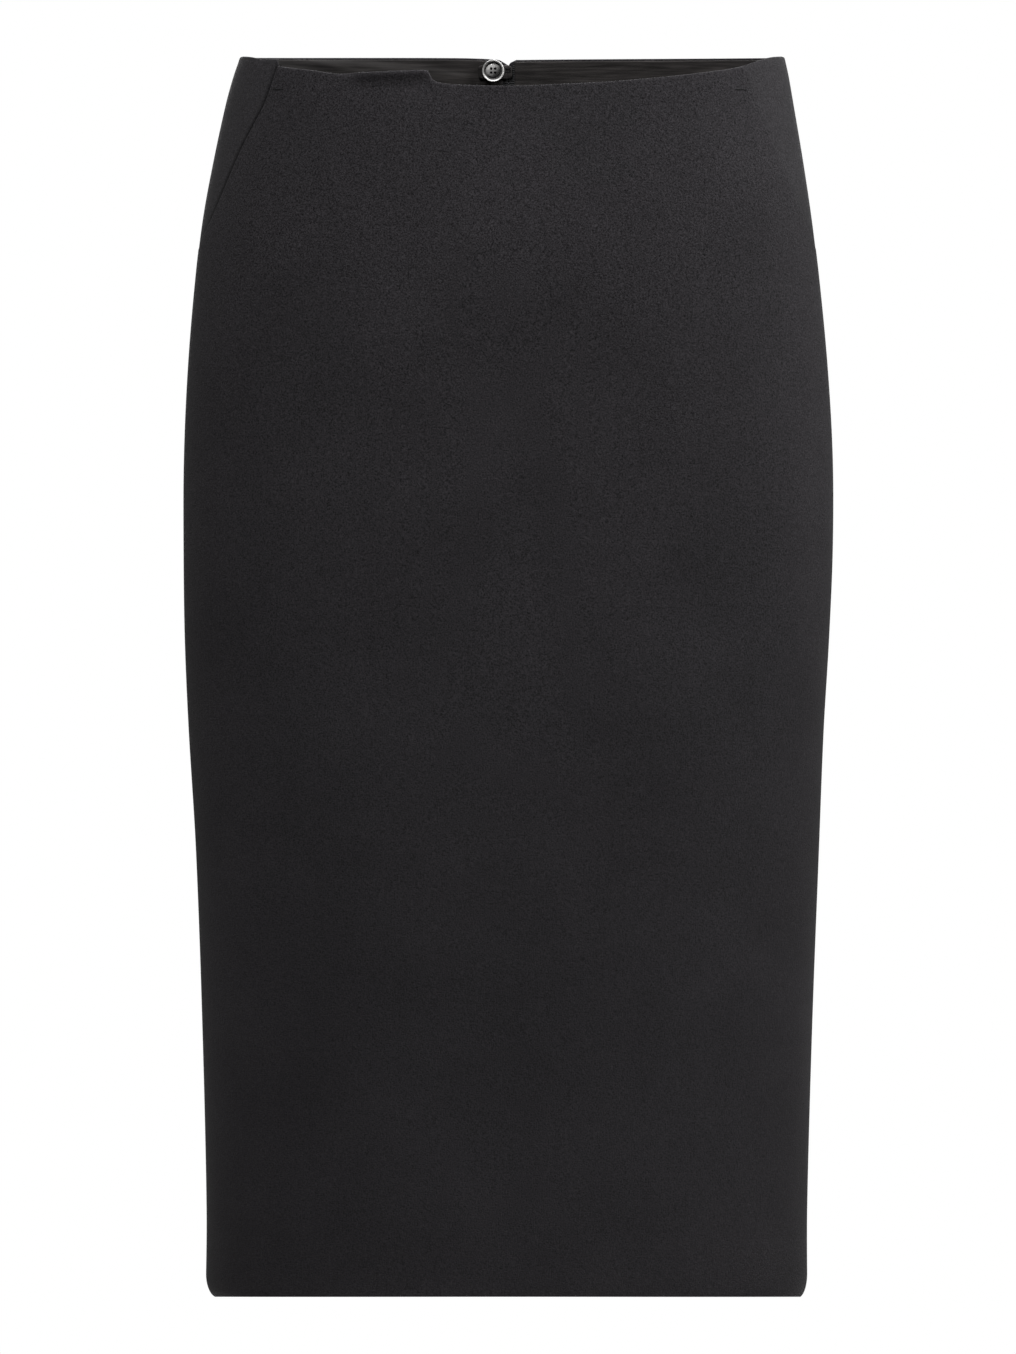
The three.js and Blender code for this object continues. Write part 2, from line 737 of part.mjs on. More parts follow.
const skirt = new THREE.Group();
addMesh(skirt, 'front_panel', frontPanel(), clothMaterial.clone());
for (const [word, side] of [['left', 1], ['right', -1]]) {
  addMesh(skirt, `back_panel_${word}`, backPanel(side), clothMaterial.clone());
  addMesh(skirt, `pocket_bearer_${word}`, pocketBearer(side), bearerMaterial.clone());
  addMesh(skirt, `back_facing_${word}`, backFacing(side), facingMaterial.clone());
  addMesh(skirt, `zip_tape_${word}`, zipTape(side), tapeMaterial.clone());
}
addMesh(skirt, 'button_tab', buttonTab(), facingMaterial.clone());
placeButton(addMesh(skirt, 'button', buttonGeometry(), hornMaterial));

const zip = new THREE.Group();
addMesh(zip, 'zip_slider', zipSlider(), metalMaterial.clone());
const pull = addMesh(zip, 'zip_pull', zipPull(), metalMaterial.clone());
pull.position.copy(pullPivot());
pull.rotation.x = pullLean();
skirt.add(zip);

export default skirt;
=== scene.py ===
"""Cloth, trims, camera and light for a black wool pencil skirt, filled out with nobody in it."""

import math

import bpy
from bpy.props import FloatProperty, FloatVectorProperty, IntProperty, PointerProperty
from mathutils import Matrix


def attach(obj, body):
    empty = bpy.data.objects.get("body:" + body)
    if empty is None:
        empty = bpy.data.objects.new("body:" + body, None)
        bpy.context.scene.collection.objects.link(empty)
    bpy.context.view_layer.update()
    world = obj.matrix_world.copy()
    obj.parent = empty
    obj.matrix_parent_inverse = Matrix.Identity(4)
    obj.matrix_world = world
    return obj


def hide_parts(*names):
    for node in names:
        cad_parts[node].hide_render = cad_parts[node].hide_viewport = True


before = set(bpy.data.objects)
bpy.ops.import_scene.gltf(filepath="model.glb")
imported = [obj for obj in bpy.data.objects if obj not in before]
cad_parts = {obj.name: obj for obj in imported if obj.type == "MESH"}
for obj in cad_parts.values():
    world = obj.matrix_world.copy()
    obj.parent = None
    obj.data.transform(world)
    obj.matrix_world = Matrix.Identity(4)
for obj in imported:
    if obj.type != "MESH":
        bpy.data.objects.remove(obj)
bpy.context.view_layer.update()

bl_info = {
    "name": "Pencil skirt",
    "version": (1, 0, 0),
    "blender": (4, 5, 0),
    "location": "3D View > Sidebar > Skirt",
    "description": "Makes a wool pencil skirt with slanted pockets, a centre back zip and a buttoned tab",
    "category": "Object",
}

# Lengths in the tables and the making functions are millimetres; MM turns them into metres
MM = 0.001
SKIRT_LENGTH = 700.0
SEAM_GAP = 0.3
CLOTH_SEAM_GAP = 0.01
CLOTH_WALL = 2.0
TURN_UP_HEIGHT = 38.0
TURN_UP_WALL = 3.0
HEM_FRONT_RISE = 1.3
WAIST_BACK_RISE = 3.8
FRONT_SQUARENESS = 2.5
BACK_SQUARENESS = 2.15
SIDE_SEAM = math.radians(92)

POCKET_TOP_ACROSS = 133.0
POCKET_TOP_HEIGHT = -6.5
POCKET_SLOPE = 0.409
POCKET_END_HEIGHT = -109.0
POCKET_HOLLOW = 1.4
POCKET_TOP_HOLLOW = (2.6, -28.0, 17.0)
HIP_PIECE_TOP = -3.2
HIP_PIECE_CORNER = (133.3, 135.3)
HIP_PIECE_RISE_ROW = 660
GAPE_LEFT = 0.3
GAPE_RIGHT = 1.6
TACK_HEIGHT = -20.5
TACK_ACROSS = 127.4
TACK_STEP = 1.05
BEARER_WALL = 1.2
BEARER_SINK = CLOTH_WALL + 0.7
BEARER_FLUSH_START = -92.0
BEARER_SLACK = 1.2
BEARER_SLACK_HEIGHT = 22.0
BEARER_HEM = 500.0
BEARER_INNER_ACROSS = 66.0
BEARER_CORNER_HEIGHT = 60.0
BEARER_CORNER_INSET = 34.0

ZIP_EDGE_GAP = 0.6
SLIDER_EDGE_GAP = 2.2
SLIT_HEIGHT = 160.0
SLIT_SPREAD = 7.0
TAPE_WALL = 0.8
TAPE_INNER_EDGE = 1.0
TAPE_WIDTH = 11.0
TAPE_TOP_HEIGHT = 697.0
TAPE_BOTTOM_HEIGHT = 480.0
FACING_WALL = 1.0
FACING_DEPTH = 40.0
FACING_TOP_DROP = 1.2
FACING_CENTRE_EDGE = 3.5

BUTTON_RADIUS = 6.35
BUTTON_ACROSS = -8.8
BUTTON_HEIGHT = -3.2
BUTTON_HOLE_RADIUS = 0.8
BUTTON_HOLE_SPACING = 2.3
TAB_WALL = 1.0
TAB_LEFT = 2.2
TAB_RIGHT = -17.5
TAB_TOP = -0.4
TAB_BOTTOM = -8.2
TAB_CORNER = 2.6
BUTTONHOLE_LENGTH = 13.0
BUTTONHOLE_LEFT = TAB_LEFT - 1.6
BUTTONHOLE_RIGHT = BUTTONHOLE_LEFT - BUTTONHOLE_LENGTH
SLIDER_HEIGHT = -21.0
SLIDER_LENGTH = 11.0

HEM_CURL_HEIGHT = 14.0
HEM_CURL_LEFT = 5.4
HEM_CURL_RIGHT = 7.2
HEM_CURL_MIDDLE = -0.4
HEM_CURL_END = math.radians(75)

# Sections of the outside: height, half width, its middle, depth before and depth behind
SECTIONS = (
    (8, 152.4, 2.4, 84.5, 86.2),
    (0, 154.0, 2.2, 85.0, 88.0),
    (-10, 156.8, 1.6, 85.8, 90.2),
    (-25, 160.2, 0.8, 87.0, 93.4),
    (-57, 166.4, 0.0, 89.8, 100.4),
    (-91, 172.1, -0.6, 92.2, 107.4),
    (-125, 176.3, -0.6, 93.8, 112.8),
    (-176, 180.8, -0.3, 95.0, 117.8),
    (-227, 183.3, 0.0, 95.6, 119.5),
    (-278, 183.4, -0.1, 95.8, 118.6),
    (-329, 182.0, -0.8, 96.0, 115.8),
    (-380, 179.4, -1.2, 96.6, 112.2),
    (-448, 176.0, -0.5, 97.8, 108.2),
    (-550, 172.1, -0.6, 99.8, 105.0),
    (-650, 169.5, -0.8, 101.6, 103.6),
    (-710, 170.0, -1.1, 102.6, 103.0),
)

# Front's top edge: distance across, height
FRONT_TOP_EDGE = (
    (-156, 0), (-148, -1.8), (-131, -7.4), (-112, -10.1), (-96, -12.4), (-86, -11.9),
    (-66, -11.2), (-48, -10.7), (-45, -11.0), (-42.5, -15.8),
    (-40, -17.4), (-30, -18.8), (0, -19.6), (30, -18.5),
    (63, -16.5), (103, -12.2), (131, -7.6), (148, -1.8), (156, 0),
)

# Dip of the back's top edge towards the zip: distance from the centre back, dip
BACK_TOP_DIP = {
    "right": ((0, -4.2), (2.6, -2.6), (6, -1.0), (34, 0), (170, 0)),
    "left": ((0, -4.2), (2.6, -1.4), (6, -1.1), (60, -0.6), (170, 0)),
}

# Broad swells of the solid: face, distance across, height, half width, half height, how proud
SWELLS = (
    ("front", 8, -135, 78, 70, 1.8),
    ("front", -125, -110, 26, 62, 1.2),
    ("front", -92, -105, 22, 60, -0.9),
    ("front", 128, -262, 34, 46, 1.1),
    ("front", 62, -330, 46, 90, 0.8),
    ("front", -58, -370, 46, 100, 0.8),
    ("front", 0, -420, 34, 90, -0.8),
    ("front", -10, -520, 90, 60, 0.9),
    ("front", -20, -625, 80, 50, -0.8),
    ("back", 62, -215, 52, 74, 3.0),
    ("back", -62, -215, 52, 74, 3.0),
    ("back", 0, -330, 60, 46, -1.2),
    ("back", 70, -470, 60, 90, 0.9),
    ("back", -66, -500, 60, 80, 1.0),
)

# Creases of the cloth: angle round from centre front (left positive), height,
# half width in degrees, half height, how proud (troughs are negative), lean in degrees per 100 mm
CREASES = (
    (22, -62, 9, 30, 0.9, 6),
    (6, -175, 16, 46, -0.7, -4),
    (48, -92, 10, 60, 0.8, 5),
    (50, -240, 8, 44, 0.9, 3),
    (51, -318, 8, 34, 0.8, -3),
    (36, -268, 7, 70, -0.6, 2),
    (66, -272, 6, 50, -0.9, 0),
    (-52, -112, 7, 62, 0.9, -8),
    (-37, -98, 6, 52, -1.0, -6),
    (-44, -470, 8, 150, -0.9, 2),
    (-3, -462, 13, 26, 0.8, 0),
    (-6, -618, 22, 40, -0.7, 0),
    (-24, -560, 9, 120, 0.5, -2),
    (34, -600, 9, 110, 0.5, 2),
    (17, -395, 8, 80, -0.5, 3),
    (2, -92, 34, 60, 1.5, 0),
    (-4, -520, 34, 46, 1.6, 0),
    (-2, -662, 26, 24, -0.9, 0),
    (-17, -300, 8, 80, -0.4, -3),
    (112, -150, 8, 70, 0.8, 6),
    (-112, -160, 8, 80, 0.8, -6),
    (128, -260, 8, 60, -0.8, 4),
    (-127, -270, 8, 60, -0.8, -4),
    (150, -330, 11, 30, 0.8, 12),
    (-152, -335, 11, 30, 0.8, -12),
    (163, -385, 10, 26, -0.7, 14),
    (-160, -390, 10, 26, -0.7, -14),
    (140, -560, 9, 120, 0.6, 2),
    (-138, -540, 9, 120, 0.6, -2),
    (168, -560, 6, 90, -0.5, -1),
    (-166, -580, 6, 90, -0.5, 1),
    (96, -430, 7, 130, -0.6, 0),
    (-97, -450, 7, 130, -0.6, 0),
    (100, -600, 8, 70, 0.7, 0),
    (-99, -610, 8, 70, 0.7, 0),
)

BODY_ROW_STEP = 3.4
PLAIN_EDGE = 9.0
ANGLE_PER_MM_FRONT = 0.0068
ANGLE_PER_MM_SIDE = 0.0085
EDGE_CLEARANCE = 0.0095
DART_WIDTH = 0.75
DART_FADE = (10.0, 30.0)
BACK_DART = (0.50, 560.0)
DART_GROOVE = 0.8
ROLL_PROUD = 2.4


def lerp(low, high, share):
    return low + (high - low) * share


def clamp(value, low, high):
    return max(low, min(high, value))


def smoothstep(value, low, high):
    share = clamp((value - low) / (high - low), 0, 1)
    return share * share * (3 - 2 * share)


def read_table(rows, place, column=1):
    """A smooth curve through the rows of a table, read at one place in its first column."""
    if rows[0][0] > rows[-1][0]:
        rows = rows[::-1]
    last = len(rows) - 1
    index = 0
    while index < last - 1 and rows[index + 1][0] < place:
        index += 1
    before, low, high = rows[max(index - 1, 0)], rows[index], rows[index + 1]
    after = rows[min(index + 2, last)]
    step = high[0] - low[0]
    share = clamp((place - low[0]) / step, 0, 1)
    low_slope = (high[column] - before[column]) / (high[0] - before[0]) * step
    high_slope = (after[column] - low[column]) / (after[0] - low[0]) * step
    rise = high[column] - low[column]
    bend = (1 - share) * (low_slope - rise) - share * (high_slope - rise)
    return low[column] + share * rise + share * (1 - share) * bend


SECTION_TOP = 8
SECTION_STEPS = [
    tuple(read_table(SECTIONS, SECTION_TOP - step / 2, column) for column in (1, 2, 3, 4))
    for step in range(2 * (SECTION_TOP + 710) + 1)
]


def section_at(z):
    """Half width, middle, front depth and back depth of the outside at a height."""
    place = clamp(2 * (SECTION_TOP - z), 0, len(SECTION_STEPS) - 1.001)
    low, high = SECTION_STEPS[int(place)], SECTION_STEPS[int(place) + 1]
    share = place - int(place)
    return [a + (b - a) * share for a, b in zip(low, high)]


def ring_point(angle, z):
    """Distance across and depth of the outside at an angle, with the half ring's own sizes."""
    half, middle, front, back = section_at(z)
    before = math.cos(angle) >= 0
    depth, power = (front, FRONT_SQUARENESS) if before else (back, BACK_SQUARENESS)
    heading = math.atan2(half * math.sin(angle), depth * math.cos(angle))
    sine, cosine = math.sin(heading), math.cos(heading)
    reach = (abs(sine / half) ** power + abs(cosine / depth) ** power) ** (-1 / power)
    return reach * sine, -reach * cosine, half, middle, depth, power, before


def swell_at(face, across, z):
    proud = 0.0
    for row_face, row_across, row_z, wide, tall, height in SWELLS:
        if row_face == face:
            reach = ((across - row_across) / wide) ** 2 + ((z - row_z) / tall) ** 2
            if reach < 9:
                proud += height * math.exp(-reach)
    return proud


def crease_at(angle, z):
    proud = 0.0
    degrees = math.degrees(angle)
    for place, row_z, wide, tall, height, lean in CREASES:
        upward = (z - row_z) / tall
        if abs(upward) < 3:
            sideways = (degrees - place - lean * (row_z - z) / 100 + 180) % 360 - 180
            reach = (sideways / wide) ** 2 + upward * upward
            if reach < 9:
                proud += height * math.exp(-reach)
    return proud


def cloth_point(angle, z, inset=0.0, creased=True):
    """A point of the skirt in millimetres, moved in from its outside along the level normal."""
    across, along, half, middle, depth, power, before = ring_point(angle, z)
    nx = math.copysign(abs(across / half) ** (power - 1) / half, across)
    ny = math.copysign(abs(along / depth) ** (power - 1) / depth, along)
    size = math.hypot(nx, ny)
    nx, ny = nx / size, ny / size
    proud = swell_at("front" if before else "back", across, z) * abs(ny) - inset
    if creased:
        proud += crease_at(angle, z)
    return (middle * (across / half) ** 2 + across + nx * proud, along + ny * proud, z)


def angle_across(across, z, face):
    """The angle at which the outside is a given distance across, on the front or the back."""
    low = 0.0 if face == "front" else math.pi / 2
    high = low + math.pi / 2
    wanted = min(abs(across), section_at(z)[0])
    for _ in range(24):
        middle = (low + high) / 2
        if (ring_point(middle, z)[0] < wanted) == (face == "front"):
            low = middle
        else:
            high = middle
    return math.copysign((low + high) / 2, across)


def top_height(angle):
    across = ring_point(angle, -10)[0]
    if math.cos(angle) >= 0:
        return read_table(FRONT_TOP_EDGE, across)
    dip = BACK_TOP_DIP["right" if across < 0 else "left"]
    return -WAIST_BACK_RISE * math.cos(angle) + read_table(dip, abs(across))


def row_height(angle, row):
    """Height of a row at an angle: the rows spread evenly between the hem and the top edge."""
    hem = -SKIRT_LENGTH + HEM_FRONT_RISE * max(math.cos(angle), 0)
    return lerp(hem, top_height(angle), row / SKIRT_LENGTH)


def edge_turn(gap, wall):
    """How far a turned edge of the cloth rounds away at a distance from it."""
    rim = wall / 2
    short = clamp(rim - gap, 0, rim)
    return 0.96 * (rim - math.sqrt(rim * rim - short * short))


def spaced(low, high, step):
    """Even places from low to high, no further apart than step."""
    count = max(1, math.ceil(abs(high - low) / step))
    return [lerp(low, high, index / count) for index in range(count + 1)]


def panel_profile():
    """Rows of a panel from its curled hem to its rounded top: outer row, inner row, curl, lip, wall."""
    profile = []
    steps = 8
    for step in range(steps + 1):
        turn = HEM_CURL_END * (1 - step / steps)
        lift = HEM_CURL_HEIGHT * (math.sin(HEM_CURL_END) - math.sin(turn))
        wall = TURN_UP_WALL * math.cos(turn)
        profile.append((lift, lift + TURN_UP_WALL * math.sin(turn), 1 - math.cos(turn), 0.0, wall))
    rows = spaced(16, TURN_UP_HEIGHT - 1, BODY_ROW_STEP) + [TURN_UP_HEIGHT + 1.5]
    rows += spaced(42, 676, BODY_ROW_STEP) + spaced(677, SKIRT_LENGTH - 2, 0.9)
    rows += [698.8, 699.4, 699.75, 699.95, 700.0]
    for row in rows:
        wall = TURN_UP_WALL if row < TURN_UP_HEIGHT else CLOTH_WALL
        profile.append((row, row, 0.0, edge_turn(SKIRT_LENGTH - row, CLOTH_WALL), wall))
    return profile


def plain_profile(low, high, wall, step=BODY_ROW_STEP, rim=0.5):
    """Rows of a plain strip of cloth between two rounded edges."""
    rows = [low, low + 0.08, low + 0.25] + spaced(low + rim, high - rim, step)
    rows += [high - 0.25, high - 0.08, high]
    return [(row, row, 0.0, edge_turn(min(row - low, high - row), wall), wall) for row in rows]


def hem_curl(angle):
    at_side = HEM_CURL_LEFT if angle > 0 else HEM_CURL_RIGHT
    return lerp(HEM_CURL_MIDDLE, at_side, abs(math.sin(angle)) ** 4)


def no_sink(angle, row, column):
    return 0.0


def front_roll(angle, row, column):
    """The top edge rolled outward on the wearer's right, with a small fold where the roll starts."""
    depth = SKIRT_LENGTH - row
    if depth > 16 or angle > 0:
        return 0.0
    across = ring_point(angle, -12)[0]
    along = smoothstep(across, -90, -82) * (1 - smoothstep(across, -46, -42.5))
    roll = ROLL_PROUD * along * math.exp(-(((depth - 1.2) / 3.4) ** 2))
    start = math.exp(-(((across + 89) / 3.2) ** 2) - ((depth - 0.6) / 1.1) ** 2)
    under = math.exp(-(((across + 64) / 20) ** 2) - ((depth - 9.5) / 2.6) ** 2)
    return 1.3 * start + 0.5 * under - roll


def add_object(name, points, faces, uvs=None, sharp=50):
    """Makes a mesh object from points in millimetres, faces, and a flat place for each point."""
    mesh = bpy.data.meshes.new(name)
    mesh.from_pydata([(x * MM, y * MM, z * MM) for x, y, z in points], [], faces)
    if uvs:
        layer = mesh.uv_layers.new(name="flat")
        for loop in mesh.loops:
            layer.data[loop.index].uv = uvs[loop.vertex_index]
    mesh.shade_smooth()
    mesh.set_sharp_from_angle(angle=math.radians(sharp))
    obj = bpy.data.objects.new(name, mesh)
    bpy.context.collection.objects.link(obj)
    return obj


def make_cloth(name, columns, profile, sink=no_sink, side=1, height=row_height):
    """Closed cloth from columns (angle at a row, distance to a turned edge) and a wall profile."""
    if side < 0:
        columns = columns[::-1]
    outer, inner, flat = [], [], []
    run = 0.0
    before = None
    middle_row = profile[len(profile) // 2][0]
    for number, (angle_at, gap) in enumerate(columns):
        angle = angle_at(middle_row)
        here = cloth_point(angle, row_height(angle, middle_row), 0, False)
        run += math.dist(here, before) if before else 0.0
        before = here
        for outer_row, inner_row, curl, lip, wall in profile:
            angle = angle_at(outer_row)
            depth = sink(angle, outer_row, number) + curl * hem_curl(angle)
            turned = max(edge_turn(gap, wall), lip)
            outer.append(cloth_point(angle, height(angle, outer_row), depth + turned))
            inner.append(cloth_point(angle, height(angle, inner_row), depth + wall - turned))
            flat.append((run * MM, outer_row * MM))
    return close_sheet(name, outer, inner, flat, len(columns), len(profile))


def close_sheet(name, outer, inner, flat, columns, rows):
    """Joins an outer and an inner grid of points into one closed body."""
    base = len(outer)
    faces = []
    for c in range(columns - 1):
        for r in range(rows - 1):
            a, b = c * rows + r, (c + 1) * rows + r
            faces.append((a, b, b + 1, a + 1))
            faces.append((base + a, base + a + 1, base + b + 1, base + b))
        a, b = c * rows, (c + 1) * rows
        faces.append((base + a, base + b, b, a))
        a, b = a + rows - 1, b + rows - 1
        faces.append((a, b, base + b, base + a))
    end = (columns - 1) * rows
    for r in range(rows - 1):
        faces.append((r, r + 1, base + r + 1, base + r))
        faces.append((base + end + r, base + end + r + 1, end + r + 1, end + r))
    return add_object(name, outer + inner, faces, flat + flat)


def pocket_across(z):
    """Distance across to the pocket edge: a slanting line that hollows slightly near its top."""
    deep, level, reach = POCKET_TOP_HOLLOW
    hollow = POCKET_HOLLOW * smoothstep(z, POCKET_END_HEIGHT, POCKET_END_HEIGHT + 25)
    hollow += deep * math.exp(-(((z - level) / reach) ** 2))
    return POCKET_TOP_ACROSS + POCKET_SLOPE * (POCKET_TOP_HEIGHT - z) - hollow


EDGE_CACHE = {}


def front_edge_angle(row):
    """Angle of the front's own edge: the side seam, or the pocket edge above its end."""
    if row not in EDGE_CACHE:
        angle = SIDE_SEAM
        for _ in range(8):
            z = row_height(angle, row)
            if z < POCKET_END_HEIGHT:
                angle = SIDE_SEAM
                break
            angle = min(SIDE_SEAM, angle_across(pocket_across(z), z, "front"))
        EDGE_CACHE[row] = angle
    return EDGE_CACHE[row]


def degrees_per_mm(angle, z):
    here = cloth_point(angle, z, 0, False)
    there = cloth_point(angle + 0.01, z, 0, False)
    return 0.01 / math.dist(here, there)


EDGE_GAPS = (0.0, 0.12, 0.4, 1.0)


def front_columns():
    """Columns of the front, even over its middle and close together at its two edges."""
    step_zone = [math.radians(degrees) for degrees in (23.5, 29.5, 50)]
    middle = step_zone[2]
    even = spaced(0, step_zone[0], math.radians(1.05))
    even += spaced(step_zone[0], step_zone[1], math.radians(0.35))[1:]
    even += spaced(step_zone[1], middle, math.radians(1.05))[1:]
    outward = spaced(0, 1, 1 / 36)[1:]
    half = []
    for angle in even:
        half.append(((lambda row, a=angle: a), PLAIN_EDGE))
    for share in outward[:-1]:
        half.append(((lambda row, s=share: lerp(middle, front_edge_angle(row) - EDGE_CLEARANCE, s)),
                     PLAIN_EDGE))
    for gap in EDGE_GAPS[::-1]:
        half.append(((lambda row, g=gap: front_edge_angle(row) - g * ANGLE_PER_MM_FRONT), gap))
    mirrored = [((lambda row, f=at: -f(row)), gap) for at, gap in half[:0:-1]]
    return mirrored + half


def centre_back_half_gap(row):
    if row < SLIT_HEIGHT:
        return lerp(SLIT_SPREAD, CLOTH_SEAM_GAP, row / SLIT_HEIGHT) / 2
    if row < TAPE_BOTTOM_HEIGHT:
        return CLOTH_SEAM_GAP / 2
    z = row - SKIRT_LENGTH
    near = 1 - smoothstep(abs(z - SLIDER_HEIGHT), SLIDER_LENGTH / 2, SLIDER_LENGTH)
    return lerp(ZIP_EDGE_GAP, SLIDER_EDGE_GAP, near) / 2


def seam_angle(z, side=1):
    return SIDE_SEAM + side * CLOTH_SEAM_GAP / section_at(z)[3]


BACK_CACHE = {}


def back_across_angle(across, row):
    key = (round(across, 3), row)
    if key not in BACK_CACHE:
        BACK_CACHE[key] = angle_across(across, row - SKIRT_LENGTH, "back")
    return BACK_CACHE[key]


def back_share_angle(share, row):
    return lerp(seam_angle(row - SKIRT_LENGTH), back_across_angle(20.0, row), share)


def back_columns(side, centre_edge=None, side_gaps=EDGE_GAPS, step=1 / 44):
    """Columns of one back piece from the side seam to the centre back, close at the dart."""
    columns = []
    for gap in side_gaps:
        columns.append(((lambda row, g=gap: side * (back_share_angle(0, row) + g * ANGLE_PER_MM_SIDE)), gap))
    shares = [share for share in spaced(0, 1, step)[1:] if abs(share - BACK_DART[0]) > 0.012]
    shares += [BACK_DART[0] + near for near in (-0.009, -0.005, -0.002, 0, 0.002, 0.005, 0.009)]
    for share in sorted(shares):
        columns.append(((lambda row, s=share: side * back_share_angle(s, row)), PLAIN_EDGE))
    for across in (17.5, 15, 12.5, 10, 8, 6.2, 4.6):
        columns.append(((lambda row, a=across: side * back_across_angle(a, row)), PLAIN_EDGE))
    for gap in EDGE_GAPS[::-1]:
        edge = centre_back_half_gap if centre_edge is None else (lambda row: centre_edge)
        columns.append(((lambda row, g=gap, e=edge: side * back_across_angle(e(row) + g, row)), gap))
    return columns


def hip_piece_height(angle, row):
    """The right hip piece stands a little above the front's slouching top edge."""
    level = row_height(angle, row)
    if angle > 0 or row < HIP_PIECE_RISE_ROW:
        return level
    across = -ring_point(angle, -10)[0]
    raised = max(0, HIP_PIECE_TOP - row_height(angle, SKIRT_LENGTH))
    raised *= smoothstep(across, *HIP_PIECE_CORNER)
    return level + raised * smoothstep(row, HIP_PIECE_RISE_ROW, SKIRT_LENGTH)


def dart_sink(angle, row, column):
    """Groove of the dart that shapes each half of the back below the waist."""
    share, end = BACK_DART
    below, above = DART_FADE
    if row < end - below:
        return 0.0
    dart = back_share_angle(share, row)
    away = (abs(angle) - dart) / degrees_per_mm(dart, row - SKIRT_LENGTH)
    fade = smoothstep(row, end - below, end + above)
    pucker = 0.25 * math.exp(-((away / 7) ** 2))
    return fade * (DART_GROOVE * math.exp(-((away / DART_WIDTH) ** 2)) - pucker)


def bearer_inner_angle(row):
    rounding = max(0, 1 - (row - BEARER_HEM) / BEARER_CORNER_HEIGHT)
    across = BEARER_INNER_ACROSS + BEARER_CORNER_INSET * rounding * rounding
    return angle_across(across, row - SKIRT_LENGTH, "front")


BEARER_CACHE = {}


def bearer_angle(place, row):
    """Angle on a pocket's hip piece: place 0 is its hidden inner edge, 1 the pocket edge, 2 the seam."""
    if row not in BEARER_CACHE:
        seam = seam_angle(row - SKIRT_LENGTH, -1)
        inner = bearer_inner_angle(row)
        BEARER_CACHE[row] = (inner, min(front_edge_angle(row), lerp(inner, seam, 0.9)), seam)
    inner, edge, seam = BEARER_CACHE[row]
    return lerp(edge, seam, place - 1) if place > 1 else lerp(inner, edge, place)


def tape_over(across):
    return 1 - smoothstep(abs(across), TAPE_INNER_EDGE + TAPE_WIDTH + 1, 20)


def facing_sink(angle, row, column):
    across = ring_point(angle, row_height(angle, row))[0]
    over_tape = (TAPE_WALL + SEAM_GAP) * tape_over(across)
    return CLOTH_WALL + SEAM_GAP + over_tape + facing_ripple(across, row) + facing_fold(across, row)


# Soft fold across the right facing: distance across, depth below the top edge
FACING_FOLD = ((-130, 0.4), (-100, 2.0), (-62, 4.6), (-47, 5.4), (-38.5, 7.6), (-21.5, 9.6), (-14, 9.9))


def facing_ripple(across, row):
    """Small slanting drag lines of the facing near its two ends, always inward."""
    near_side = smoothstep(abs(across), 45, 125)
    depth = SKIRT_LENGTH - row
    lines = math.sin((abs(across) * 0.24 + depth) * 0.9)
    lines += 0.6 * math.sin((abs(across) * 0.19 + depth) * 2.1 + 1)
    return 0.22 * near_side * (1.6 + lines) * smoothstep(depth, 1, 5)


def facing_fold(across, row):
    """Where the right facing sags: everything below the fold line stands a little further in."""
    if across > -14:
        return 0.0
    below = SKIRT_LENGTH - row - read_table(FACING_FOLD, across)
    ends = smoothstep(-across, 16, 26) * (1 - smoothstep(-across, 110, 130))
    lip = math.exp(-((below / 0.9) ** 2))
    return ends * (1.1 * smoothstep(below, -0.5, 1.4) + 0.3 * lip) * (1 - smoothstep(below, 6, 30))


def tape_edge(row):
    """The tapes' edges meet, apart from where the slider's neck stands between them."""
    away = abs(row - SKIRT_LENGTH - SLIDER_HEIGHT)
    return lerp(TAPE_INNER_EDGE, CLOTH_SEAM_GAP / 10, smoothstep(away, 3, 5))


def tab_inset(across):
    over_tape = CLOTH_WALL + SEAM_GAP + TAPE_WALL + SEAM_GAP
    over_facing = over_tape + FACING_WALL + SEAM_GAP + 0.2
    return lerp(over_facing, over_tape, smoothstep(across, -FACING_CENTRE_EDGE, -0.4))


def behind_wall(across, z, inset):
    angle = math.pi if across == 0 else angle_across(across, z, "back")
    return cloth_point(angle, z, inset, False)


# Materials


